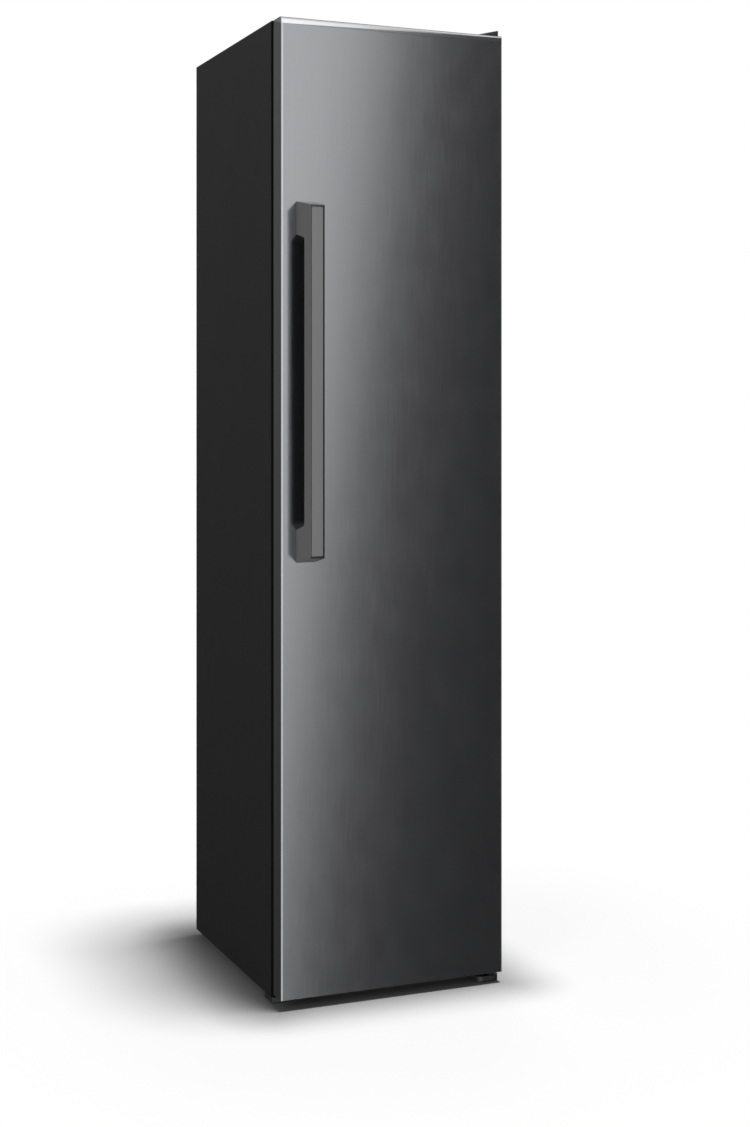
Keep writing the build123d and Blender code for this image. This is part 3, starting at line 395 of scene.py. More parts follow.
def coated_side(name, shade, roughness, pebble=1000, relief=0.03):
    """The cabinet's coating, with painted shade along the folded front edges by the door: a darker, duller
    band.
    """
    paint = Finish(name)
    front = box("side_panel_left")[0].y
    shade_band_end = 6.5 * mm
    shade_band_full = 6.1 * mm
    pebbles, rubbed, mix = powder(paint, pebble)
    rough = roughness + swing(rubbed, 0.16) + swing(pebbles, 0.1)
    painted = paint.shader({"Base Color": paint.varied(shade, 0.16, mix), "Roughness": rough,
                            "Specular IOR Level": 0.34}, pebbles, relief * mm)
    # Painted shade: a darker, duller coat in the band by the door's gap, which lies in shade.
    dark = paint.varied(toned(shade, 0.3), 0.16, pebbles)
    painted_shade_coat = paint.shader({"Base Color": dark, "Roughness": 0.8, "Specular IOR Level": 0.08},
                        pebbles, relief * mm)
    band = paint.faded(paint.axis("Y"), front + shade_band_end, front + shade_band_full)
    mixed = paint.node("ShaderNodeMixShader", {}, {0: band, 1: painted, 2: painted_shade_coat})
    paint.node("ShaderNodeOutputMaterial", {}, {"Surface": mixed})
    return paint.material


def moulded(name, shade, roughness, grain=1400, relief=0.02):
    """Moulded plastic with its spark-eroded grain."""
    plastic = Finish(name)
    pits = plastic.noise(grain, detail=3)
    flow = plastic.noise(22)
    return plastic.surface({"Base Color": plastic.varied(shade, 0.05, pits * 0.4 + flow * 0.6),
                            "Roughness": roughness + swing(flow, 0.12) + swing(pits, 0.08)},
                           pits, relief * mm)


def spangled(name, shade, roughness):
    """Zinc-coated steel with the crystals of the zinc."""
    zinc = Finish(name)
    grey = zinc.node("ShaderNodeSeparateColor", {}, {"Color": zinc.cells(95.0, "Color")})
    fine = zinc.noise(700)
    return zinc.surface({"Base Color": zinc.varied(shade, 0.24, grey * 0.7 + fine * 0.3), "Metallic": 1.0,
                         "Roughness": roughness + swing(grey, 0.16)}, fine, 0.006 * mm)


def tarnished(name, shade):
    """Drawn copper with darker patches where it was handled and heated."""
    copper = Finish(name)
    patches = copper.noise(26, detail=5)
    drawn = copper.noise(1300)
    stain = copper.node("ShaderNodeValToRGB", {"stops": [(0.42, 0.0), (0.62, 1.0)]}, {0: patches})
    return copper.surface({"Base Color": copper.blend(shade, toned(shade, 0.42), stain * 0.75),
                           "Metallic": 1.0, "Roughness": 0.26 + patches * 0.24}, drawn, 0.004 * mm)


def foamed(name, shade):
    """Rigid foam with its cut cells and yellowed patches."""
    foam = Finish(name)
    cut = foam.cells(620.0)
    patches = foam.noise(12, detail=4)
    return foam.surface({"Base Color": foam.varied(shade, 0.16, patches), "Roughness": 0.92},
                        cut + patches * 0.3, 0.35 * mm)


def see_through(name, shade, roughness, ior):
    """Clear glass or plastic with a faint waviness and handling haze."""
    clear = Finish(name)
    haze = clear.noise(18, detail=4)
    waves = clear.noise(60)
    return clear.surface({"Base Color": clear.varied(shade, 0.03, haze), "Transmission Weight": 0.92,
                          "IOR": ior, "Roughness": roughness + haze * 0.07}, waves, 0.01 * mm)


def rubbery(name, shade):
    """Soft matt seal or rubber with a dusty bloom."""
    rubber = Finish(name)
    bloom = rubber.noise(30, detail=5)
    fine = rubber.noise(1700)
    return rubber.surface({"Base Color": rubber.varied(shade, 0.2, bloom),
                           "Roughness": 0.62 + swing(fine, 0.16)}, fine, 0.02 * mm)


def make_finishes(colours):
    """Every finish, under the name of its material slot."""
    base_grey = (0.30, 0.30, 0.31)
    aluminium = (0.72, 0.73, 0.75)
    quartz = (0.93, 0.93, 0.90)
    frosted = (0.95, 0.96, 0.98)
    dark_grey = (0.20, 0.20, 0.21)
    knob_grey = (0.28, 0.29, 0.31)
    pump_black = (0.014, 0.014, 0.015)
    rubber_black = (0.022, 0.022, 0.023)
    cap_black = (0.03, 0.03, 0.031)
    ivory = (0.76, 0.75, 0.71)
    finishes.update({
        # The cabinet's coating has painted shade along its front edges by the door.
        "painted_side": coated_side("cabinet_coating", colours.cabinet, 0.52),
        "rear_sheet": coated("rear_coating", colours.rear, 0.48),
        "base_steel": spangled("base_zinc", base_grey, 0.46),
        "galvanised": spangled("housing_zinc", colours.zinc, 0.38),
        "foam": foamed("rigid_foam", colours.foam),
        "liner_white": moulded("liner_plastic", colours.liner, 0.38, grain=70),
        "cover_white": moulded("cover_plastic", colours.liner, 0.36, grain=900, relief=0.012),
        "condenser_copper": tarnished("drawn_copper", colours.copper),
        "aluminium": brushed("fin_aluminium", aluminium, 0.34),
        "heater": see_through("heater_glass", quartz, 0.05, 1.46),
        "grey_plastic": moulded("grey_plastic", dark_grey, 0.45),
        "shelf_glass": see_through("shelf_glass", colours.glass, 0.02, 1.5),
        "shelf_trim": moulded("trim_plastic", colours.trim, 0.34),
        "clear_bin": see_through("bin_plastic", colours.clear, 0.10, 1.45),
        "lens": see_through("lamp_plastic", frosted, 0.24, 1.45),
        "knob_grey": moulded("knob_plastic", knob_grey, 0.36),
        "compressor_black": coated("pump_enamel", pump_black, 0.26, pebble=500),
        "rubber": rubbery("black_rubber", rubber_black),
        "black_plastic": moulded("black_plastic", colours.black, 0.44),
        "black_steel": coated("black_enamel", colours.black, 0.40, pebble=1500, relief=0.02),
        "zinc": spangled("plated_zinc", colours.zinc, 0.30),
        # The door's steel has a painted highlight along its upright front edges.
        "door_steel": brushed("door_steel", colours.door, 0.17, folded="door_skin"),
        # The cap's silver band narrows as a painted highlight would.
        "door_cap": capped("cap_silver", colours.door_cap, colours.door, 0.19),
        "cap_black": moulded("door_cap_black", cap_black, 0.5),
        "bush_white": moulded("bush_plastic", ivory, 0.38),
        "gasket": rubbery("seal_rubber", colours.gasket),
        # The handle's lacquer has painted shade round its face.
        "handle_dark": lacquered("handle_grey", colours.handle_body, colours.handle_painted_shade, 0.38),
        "handle_steel": brushed("handle_steel", colours.handle_face, 0.42),
    })


# ---------------------------------------------------------------- places read from the frame
def box(node):
    """A CAD node's lowest and highest corner."""
    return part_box(node)


def nodes_named(start):
    """The CAD nodes whose names start so, in order."""
    return sorted(node for node in frame["nodes"] if node.startswith(start))


def front_corners(low, high):
    """The corners of a box seen from the front."""
    return [(low.x, low.z), (high.x, low.z), (high.x, high.z), (low.x, high.z)]


# ---------------------------------------------------------------- outlines and shells
def arc(centre, radius, start, end, steps):
    """Points of an arc between two angles in quarter turns."""
    points = []
    for step in range(steps + 1):
        angle = quarter * (start + (end - start) * step / steps)
        points.append((centre[0] + radius * math.cos(angle), centre[1] + radius * math.sin(angle)))
    return points


def wheel(centre, reach, count):
    """Flat points round a centre, each as far out as a rule says for its angle."""
    points = []
    for index in range(count):
        angle = whole * index / count
        out = reach(angle)
        points.append((centre[0] + out * math.cos(angle), centre[1] + out * math.sin(angle)))
    return points


def rounded_rectangle(across, along, radius, steps=5):
    """The outline of a rectangle between two places each way, with round corners."""
    points = []
    for turn in range(4):
        right = turn in (0, 3)
        upper = turn in (0, 1)
        centre = (across[1] - radius if right else across[0] + radius,
                  along[1] - radius if upper else along[0] + radius)
        points += arc(centre, radius, turn, turn + 1, steps)
    return points


def shrunk(span, inset):
    """A span drawn in at both ends."""
    return span[0] + inset, span[1] - inset


def stood(points, axis, level):
    """Flat points set at a level along one axis, in that axis's own plane."""
    if axis == "X":
        return [Vector((level, a, b)) for a, b in points]
    if axis == "Y":
        return [Vector((a, level, b)) for a, b in points]
    return [Vector((a, b, level)) for a, b in points]


def loft(rings, wrap=False, caps=(True, True)):
    """Points and faces through rings of equally many points."""
    count = len(rings[0])
    points = [point for ring in rings for point in ring]
    faces = []
    for row in range(len(rings) if wrap else len(rings) - 1):
        lower = row * count
        upper = (row + 1) % len(rings) * count
        for index in range(count):
            following = (index + 1) % count
            faces.append((lower + index, lower + following, upper + following, upper + index))
    if not wrap and caps[0]:
        faces.append(tuple(range(count)))
    if not wrap and caps[1]:
        faces.append(tuple(range(len(points) - count, len(points))))
    return points, faces


def rounded_block(low, high, radius):
    """A block with all its edges rounded."""
    steps = 3
    sharpest = 0.02 * radius
    rings = []
    for way, level in ((1, low[2]), (-1, high[2])):
        band = []
        for step in range(steps + 1):
            angle = quarter * step / steps
            inset = radius * (1 - math.sin(angle))
            outline = rounded_rectangle(shrunk((low[0], high[0]), inset), shrunk((low[1], high[1]), inset),
                                        max(radius - inset, sharpest), steps)
            band.append(stood(outline, "Z", level + way * radius * (1 - math.cos(angle))))
        rings += band if way > 0 else reversed(band)
    return loft(rings)


def turned(profile, axis, centre, segments=32, wrap=False):
    """A shape turned round an axis, from its radii and its places along the axis."""
    rings = []
    for radius, place in profile:
        ring = []
        for step in range(segments):
            angle = whole * step / segments
            a = radius * math.cos(angle)
            b = radius * math.sin(angle)
            offsets = {"X": (place, a, b), "Y": (a, place, b), "Z": (a, b, place)}
            ring.append(Vector(centre) + Vector(offsets[axis]))
        rings.append(ring)
    return loft(rings, wrap)


def tub(low, high, wall, corner, rim, fillet):
    """An open tub: rounded corners, a rim that stands out, rounded edges at its floor."""
    corner_steps = 6
    fillet_steps = 3
    sharpest = 0.1 * corner
    tall = high[2] - low[2]
    rim_height = 3 * wall
    outer_edge = 0.3 * wall
    outer_drop = 0.6 * wall
    inner_edge = 0.7 * wall
    inner_drop = 0.5 * wall
    angles = [quarter * step / fillet_steps for step in range(fillet_steps + 1)]
    sides = [(rim + fillet * (1 - math.sin(angle)), fillet * (1 - math.cos(angle))) for angle in angles]
    sides += [(rim, tall - rim_height), (0, tall - rim_height + rim), (0, tall - outer_drop),
              (outer_edge, tall), (rim + inner_edge, tall), (rim + wall, tall - inner_drop)]
    sides += [(rim + wall + fillet * (1 - math.sin(angle)), wall + fillet * (1 - math.cos(angle)))
              for angle in reversed(angles)]
    rings = []
    for inset, height in sides:
        outline = rounded_rectangle(shrunk((low[0], high[0]), inset), shrunk((low[1], high[1]), inset),
                                    max(corner - inset, sharpest), corner_steps)
        rings.append(stood(outline, "Z", low[2] + height))
    return loft(rings)


def terrace(work, outline, axis, level, forms):
    """A flat sheet inside an outline, with forms raised or sunk in it.

    A form is its rings, as outlines with their levels, and the forms on its own top.
    """
    loops = [outline] + [rings[0][0] for rings, _ in forms]
    edges = []
    first_rings = []
    for loop in loops:
        verts = [work.verts.new(point) for point in stood(loop, axis, level)]
        edges += [work.edges.new((verts[index - 1], verts[index])) for index in range(len(verts))]
        first_rings.append(verts)
    bmesh.ops.triangle_fill(work, use_beauty=True, edges=edges)
    for lower, (rings, on_top) in zip(first_rings[1:], forms):
        for outline_above, level_above in rings[1:]:
            upper = [work.verts.new(point) for point in stood(outline_above, axis, level_above)]
            for index in range(len(upper)):
                work.faces.new((lower[index - 1], lower[index], upper[index], upper[index - 1]))
            lower = upper
        top_outline, top_level = rings[-1]
        if on_top:
            terrace(work, top_outline, axis, top_level, on_top)
        else:
            work.faces.new(lower)


def form_rings(across, along, corner, rise, foot, edge, level, steps=4):
    """Rings of one pressed form, from its foot, which spreads out, to its rounded top."""
    way = 1 if rise > 0 else -1
    sharpest = 0.3 * mm
    angles = [quarter * step / steps for step in range(steps + 1)]
    rings = [(foot * (math.sin(angle) - 1), way * foot * (1 - math.cos(angle))) for angle in angles]
    rings += [(edge * (1 - math.cos(angle)), rise - way * edge * (1 - math.sin(angle))) for angle in angles]
    return [(rounded_rectangle(shrunk(across, inset), shrunk(along, inset), max(corner - inset, sharpest)),
             level + height) for inset, height in rings]


# ---------------------------------------------------------------- meshes and pieces
def mesh_of(name, *shells):
    """One mesh of several closed shells, facing outwards."""
    mesh = bpy.data.meshes.new(name)
    points = []
    faces = []
    for shell_points, shell_faces in shells:
        start = len(points)
        points += shell_points
        faces += [[start + index for index in face] for face in shell_faces]
    mesh.from_pydata(points, [], faces)
    work = bmesh.new()
    work.from_mesh(mesh)
    return closed(work, mesh)


def closed(work, mesh):
    """Merges what touches, turns all faces outwards and writes the mesh."""
    bmesh.ops.remove_doubles(work, verts=work.verts, dist=weld)
    bmesh.ops.dissolve_degenerate(work, edges=work.edges, dist=weld)
    bmesh.ops.recalc_face_normals(work, faces=work.faces)
    work.to_mesh(mesh)
    work.free()
    return mesh


def rounded(work, edges, radius, segments):
    """Rounds some edges of a mesh that is being worked on."""
    bmesh.ops.bevel(work, geom=edges, offset=radius, segments=segments, profile=0.5, affect="EDGES",
                    clamp_overlap=True)


def shells_of(mesh):
    """A mesh as points and faces, to be joined with others."""
    return [vertex.co.copy() for vertex in mesh.vertices], [list(face.vertices) for face in mesh.polygons]


def in_order(mesh):
    """Sorts a mesh's corners and faces, where Blender's own order differs from run to run."""
    points, faces = shells_of(mesh)
    order = sorted(range(len(points)), key=lambda index: points[index][:])
    places = {index: place for place, index in enumerate(order)}
    faces = [[places[index] for index in face] for face in faces]
    firsts = [face.index(min(face)) for face in faces]
    mesh.clear_geometry()
    mesh.from_pydata([points[index] for index in order], [],
                     sorted(face[first:] + face[:first] for face, first in zip(faces, firsts)))
    return mesh


def placed(name, data):
    """A new object in the scene."""
    made = bpy.data.objects.new(name, data)
    bpy.context.scene.collection.objects.link(made)
    return made


def evaluated(mesh, modifiers):
    """A plain mesh after the modifiers, given as their types and settings."""
    holder = placed(mesh.name, mesh)
    for kind, settings in modifiers:
        modifier = holder.modifiers.new(kind, kind)
        for name, value in settings.items():
            setattr(modifier, name, value)
    return baked(holder)


def baked(holder):
    """The evaluated mesh of an object, which is then removed."""
    depsgraph = bpy.context.evaluated_depsgraph_get()
    made = bpy.data.meshes.new_from_object(holder.evaluated_get(depsgraph), depsgraph=depsgraph)
    holder.modifiers.clear()
    bpy.data.objects.remove(holder)
    return made


def thickened(mesh, thickness):
    """A sheet with its thickness, which lies behind the side that shows."""
    return evaluated(mesh, [("SOLIDIFY", {"thickness": thickness, "offset": -1.0})])


def formed_sheet(name, node, level, forms, thickness):
    """A sheet as large as a CAD node, with forms pressed in it, whose showing side looks back."""
    work = bmesh.new()
    terrace(work, front_corners(*box(node)), "Y", level, forms)
    mesh = closed(work, bpy.data.meshes.new(name))
    largest = max(mesh.polygons, key=lambda face: face.area)
    if largest.normal.dot(backwards) < 0:
        mesh.flip_normals()
    return thickened(mesh, thickness)


def smoothed(mesh):
    """Smooth shading between sharp edges, with flat faces kept flat."""
    mesh.shade_smooth()
    mesh.set_sharp_from_angle(angle=crease)
    return evaluated(mesh, [("WEIGHTED_NORMAL", {"keep_sharp": True})])


def add_piece(name, mesh, slot, body, *nodes):
    """Adds a finished piece that rides on a body and may stand for CAD nodes."""
    mesh = smoothed(mesh)
    mesh.name = name
    mesh.materials.clear()
    mesh.materials.append(finishes[slot])
    for face in mesh.polygons:
        face.material_index = 0
    piece = placed(name, mesh)
    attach(piece, body)
    if nodes:
        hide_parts(*nodes)


def slot_of(node):
    """The material slot that the record gives a CAD node."""
    for row in frame["record"]["subparts"]:
        if row["node"] == node:
            return row["material_slot"]
    raise LookupError(f"no material slot for {node}")


def body_of(node):
    """The body that a CAD node rides on."""
    for body, nodes in frame["record"]["behaviour"]["bodies"].items():
        if node in nodes:
            return body
    raise LookupError(f"no body for {node}")


def stand_in(name, mesh, node):
    """Adds a finished piece that stands for one CAD node, with the node's own slot and body."""
    add_piece(name, mesh, slot_of(node), body_of(node), node)


def softened_mesh(node, width=0.0):
    """A merged copy of a CAD node's mesh, with its sharp edges rounded where a width is given."""
    segments = 2
    mesh = bpy.data.meshes.new(node + "_soft")
    source = frame["nodes"][node].data
    mesh.from_pydata([vertex.co for vertex in source.vertices], [],
                     [list(face.vertices) for face in source.polygons])
    work = bmesh.new()
    work.from_mesh(mesh)
    bmesh.ops.remove_doubles(work, verts=work.verts, dist=weld)
    bmesh.ops.dissolve_limit(work, angle_limit=flatness, verts=work.verts, edges=work.edges)
    if width:
        sharp = [edge for edge in work.edges if edge.is_manifold and edge.calc_face_angle() > crease]
        rounded(work, sharp, width, segments)
    work.to_mesh(mesh)
    work.free()
    return mesh


def softened(node, width):
    """Adds a copy of a CAD node with its sharp edges rounded, which stands for the node."""
    stand_in(node + "_soft", softened_mesh(node, width), node)


def numeral(text, size, place):
    """A raised figure that reads from the front, as points and faces."""
    relief = 0.12 * mm
    curve = bpy.data.curves.new("figure", "FONT")
    curve.body = text
    curve.size = size
    curve.extrude = relief
    curve.align_x = "CENTER"
    curve.align_y = "CENTER"
    mesh = baked(placed("figure", curve))
    mesh.transform(Matrix.Translation(place) @ Matrix.Rotation(quarter, 4, "X"))
    return shells_of(mesh)


# ---------------------------------------------------------------- patterns grown by geometry nodes
class Growth(Tree):
    """A geometry node tree with named inputs, which ends in real faces with their material."""

    def __init__(self, name, inputs):
        group = bpy.data.node_groups.new(name, "GeometryNodeTree")
        super().__init__(group)
        group.interface.new_socket("Geometry", in_out="INPUT", socket_type="NodeSocketGeometry")
        for label, kind in [*inputs, ("Material", "NodeSocketMaterial")]:
            group.interface.new_socket(label, in_out="INPUT", socket_type=kind)
        group.interface.new_socket("Geometry", in_out="OUTPUT", socket_type="NodeSocketGeometry")
        self.entry = group.nodes.new("NodeGroupInput")

    def given(self, label):
        """One of the tree's named inputs."""
        return Signal(self, self.entry.outputs[label])

    def end(self, geometry):
        """Real faces, their material, and the way out."""
        real = self.node("GeometryNodeRealizeInstances", {}, {"Geometry": geometry})
        painted = self.node("GeometryNodeSetMaterial", {},
                            {"Geometry": real, "Material": self.given("Material")})
        self.node("NodeGroupOutput", {}, {"Geometry": painted})
        return self.tree


def grown(group, mesh, values):
    """The plain mesh that a tree makes from a mesh and the values of its inputs."""
    holder = placed(group.name, mesh)
    modifier = holder.modifiers.new(group.name, "NODES")
    modifier.node_group = group
    for item in group.interface.items_tree:
        if item.item_type == "SOCKET" and item.in_out == "INPUT" and item.name in values:
            modifier[item.identifier] = values[item.name]
    holder.update_tag()
    return baked(holder)


def bead_tree():
    """Rows of round-ended beads: how many, how far apart, how long and how thick."""
    stations = 13
    sides = 8
    bluntness = 14
    least = 0.02
    vector = "NodeSocketVector"
    tree = Growth("bead_rows", [("Start", vector), ("Step", vector), ("Half Length", vector),
                                ("Count", "NodeSocketInt"), ("Radius", "NodeSocketFloat")])
    reach = tree.given("Half Length")
    back = tree.node("ShaderNodeVectorMath", {"operation": "SCALE"}, {0: reach, "Scale": -1.0})
    line = tree.node("GeometryNodeCurvePrimitiveLine", {}, {"Start": back, "End": reach})
    line = tree.node("GeometryNodeResampleCurve", {}, {"Curve": line, "Count": stations})
    along = tree.node("GeometryNodeSplineParameter")
    distance = along.maths("ABSOLUTE", along * 2 - 1)
    thinning = (1 - distance ** bluntness) ** 0.5 + least
    line = tree.node("GeometryNodeSetCurveRadius", {}, {"Curve": line, "Radius": thinning})
    circle = tree.node("GeometryNodeCurvePrimitiveCircle", {},
                       {"Resolution": sides, "Radius": tree.given("Radius")})
    bead = tree.node("GeometryNodeCurveToMesh", {},
                     {"Curve": line, "Profile Curve": circle, "Fill Caps": True,
                      "Scale": tree.node("GeometryNodeInputRadius")})
    row = tree.node("GeometryNodeMeshLine", {"mode": "OFFSET"},
                    {"Count": tree.given("Count"), "Start Location": tree.given("Start"),
                     "Offset": tree.given("Step")})
    points = tree.node("GeometryNodeMeshToPoints", {}, {"Mesh": row})
    return tree.end(tree.node("GeometryNodeInstanceOnPoints", {}, {"Points": points, "Instance": bead}))


def beads(start, step, count, half, radius, slot):
    """One row of beads as a mesh."""
    values = {"Start": start, "Step": step, "Half Length": half, "Count": count, "Radius": radius,
              "Material": finishes[slot]}
    group = bpy.data.node_groups.get("bead_rows") or bead_tree()
    return grown(group, bpy.data.meshes.new("bead_base"), values)


def head_tree():
    """A screw head on each point of a mesh, turned the way that the point's own arrow says."""
    tree = Growth("screw_heads", [("Head", "NodeSocketObject")])
    source = tree.node("GeometryNodeObjectInfo", {}, {"Object": tree.given("Head")}, output="Geometry")
    way = tree.node("GeometryNodeInputNamedAttribute", {"data_type": "FLOAT_VECTOR"}, {"Name": "way"})
    turn = tree.node("FunctionNodeAlignRotationToVector", {"axis": "Z"}, {"Vector": way})
    points = tree.node("GeometryNodeMeshToPoints", {}, {"Mesh": tree.given("Geometry")})
    heads = tree.node("GeometryNodeInstanceOnPoints", {}, {"Points": points, "Instance": source,
                                                           "Rotation": turn})
    return tree.end(heads)


def head_mesh(radius, height):
    """A pan head with a cross recess, standing on the origin."""
    steps = 5
    segments = 24
    flat = 0.62
    skirt = 0.3
    arm = 0.62 * radius
    half = 0.11 * radius
    depth = 0.55 * height
    taper = 0.55
    rings = [(radius, 0), (radius, skirt * height)]
    for step in range(1, steps + 1):
        angle = quarter * step / steps
        rings.append((radius * (flat + (1 - flat) * math.cos(angle)),
                      height * (skirt + (1 - skirt) * math.sin(angle))))
    mesh = mesh_of("screw_head", turned(rings, "Z", (0, 0, 0), segments))
    outline = []
    for turn in range(4):
        spin = Matrix.Rotation(quarter * turn, 2)
        outline += [spin @ Vector(point) for point in ((arm, -half), (arm, half), (half, half))]
    narrowed = [point * taper for point in outline]
    cutter = mesh_of("recess", loft([stood(narrowed, "Z", height - depth), stood(outline, "Z", height),
                                     stood(outline, "Z", 2 * height)]))
    tool = placed("recess", cutter)
    mesh = evaluated(mesh, [("BOOLEAN", {"object": tool, "operation": "DIFFERENCE", "solver": "EXACT"})])
    bpy.data.objects.remove(tool)
    return mesh


def screw_heads(places, radius, height, slot):
    """Heads at places, each given as its point and the way that the head looks."""
    head = placed("head", head_mesh(radius, height))
    cloud = bpy.data.meshes.new("screw_places")
    cloud.from_pydata([point for point, _ in places], [], [])
    ways = cloud.attributes.new("way", "FLOAT_VECTOR", "POINT")
    for item, (_, way) in zip(ways.data, places):
        item.vector = way
    group = bpy.data.node_groups.get("screw_heads") or head_tree()
    made = grown(group, cloud, {"Head": head, "Material": finishes[slot]})
    bpy.data.objects.remove(head)
    return made


# ---------------------------------------------------------------- operators
class FREEZER_OT_finishes(bpy.types.Operator):
    """Make every finish and put it on the frame's own pieces"""

    bl_idname = "freezer.finishes"
    bl_label = "Finishes"

    def execute(self, context):
        make_finishes(context.scene.freezer_colours)
        for row in frame["record"]["subparts"]:
            node = frame["nodes"][row["node"]]
            node.data.materials.clear()
            node.data.materials.append(finishes[row["material_slot"]])
        return {"FINISHED"}


class FREEZER_OT_cabinet(bpy.types.Operator):
    """Make the bent sides, the pressed rear panel, the hinge cover and the brackets of the cabinet"""

    bl_idname = "freezer.cabinet"
    bl_label = "Cabinet"

    def execute(self, context):
        sizes = context.scene.freezer_sizes
        plate_edge = 0.5 * mm
        for side in ("left", "right"):
            self.side(side, sizes)
        self.rear(sizes)
        self.hinge_cover()
        for node in ("bottom_hinge_bracket", "foot_bracket_left", "top_hinge_bracket", "base_plate"):
            softened(node, plate_edge)
        return {"FINISHED"}

    def side(self, side, sizes):
        """One side sheet with its round front bend."""
        node = "side_panel_" + side
        low, high = box(node)
        inward = 1 if side == "left" else -1
        outer = low.x if side == "left" else high.x
        flange = high.x - low.x
        bend = sizes.side_bend
        bend_steps = 6
        outside = arc((bend, low.y + bend), bend, 2, 3, bend_steps)
        inside = arc((bend, low.y + bend), bend - sizes.sheet, 3, 2, bend_steps)
        outline = [(0, high.y), *outside, (flange, low.y), (flange, low.y + sizes.sheet), *inside,
                   (sizes.sheet, high.y)]
        outline = [(outer + inward * x, y) for x, y in outline]
        mesh = mesh_of(node, loft([stood(outline, "Z", low.z), stood(outline, "Z", high.z)]))
        stand_in(node + "_bent", mesh, node)

    def rear(self, sizes):
        """The rear sheet with upright pressed beads and dimples for its screws."""
        low, high = box("rear_panel")
        level = high.y
        depth = sizes.press_depth
        columns = 5
        margin = 60 * mm
        bead_half = 9 * mm
        bead_steps = 3
        gap = 40 * mm
        waist = (low.z + high.z) / 2
        rows = 7
        inset = 16 * mm
        dimple = 7 * mm
        dimple_steps = 2
        head_height = 0.8 * depth

        def pressed(across, along, corner, steps):
            return form_rings(across, along, corner, -depth, depth / 2, depth / 2, level, steps), []

        forms = []
        for column in range(columns):
            x = low.x + margin + (high.x - low.x - 2 * margin) * column / (columns - 1)
            for along in ((low.z + margin, waist - gap / 2), (waist + gap / 2, high.z - margin)):
                forms.append(pressed((x - bead_half, x + bead_half), along, bead_half, bead_steps))
        screws = []
        for row in range(rows):
            z = low.z + inset + (high.z - low.z - 2 * inset) * row / (rows - 1)
            for x in (low.x + inset, high.x - inset):
                across = (x - dimple, x + dimple)
                forms.append(pressed(across, (z - dimple, z + dimple), dimple, dimple_steps))
                screws.append((Vector((x, level - depth, z)), backwards))
        mesh = formed_sheet("rear", "rear_panel", level, forms, sizes.sheet)
        stand_in("rear_panel_pressed", mesh, "rear_panel")
        heads = screw_heads(screws, sizes.panel_screw, head_height, "zinc")
        add_piece("rear_panel_screws", heads, "zinc", "cabinet")
        foam = softened_mesh("cabinet_foam")
        for vertex in foam.vertices:
            if vertex.co.y > low.y - mm:
                vertex.co.y = low.y - depth
        stand_in("cabinet_foam_set_back", foam, "cabinet_foam")

    def hinge_cover(self):
        """The low cover over the top hinge: a round inner corner, and a top that slants down to it."""
        low, high = box("top_hinge_cover")
        tall = high.z - low.z
        fall_inward = 0.25
        rise_backward = 0.10
        big = 38 * mm
        small = 4 * mm
        edge = 2 * mm
        wall = 1.4 * mm
        big_steps = 10
        small_steps = 4
        edge_steps = 4

        def outline(inset):
            left, right = shrunk((low.x, high.x), inset)
            front, back = shrunk((low.y, high.y), inset)
            rest = small - inset
            return (arc((left + big - inset, front + big - inset), big - inset, 2, 3, big_steps)
                    + arc((right - rest, front + rest), rest, 3, 4, small_steps)
                    + arc((right - rest, back - rest), rest, 0, 1, small_steps)
                    + arc((left + rest, back - rest), rest, 1, 2, small_steps))

        rings = [stood(outline(0), "Z", low.z)]
        for step in range(edge_steps + 1):
            angle = quarter * step / edge_steps
            share = 1 - edge * (1 - math.sin(angle)) / tall
            ring = []
            for x, y in outline(edge * (1 - math.cos(angle))):
                fall = max(0.0, fall_inward * (high.x - x) - rise_backward * (y - low.y))
                ring.append(Vector((x, y, low.z + tall * share - fall * share)))
            rings.append(ring)
        mesh = mesh_of("hinge_cover", loft(rings, caps=(False, True)))
        stand_in("top_hinge_cover_moulded", thickened(mesh, wall), "top_hinge_cover")


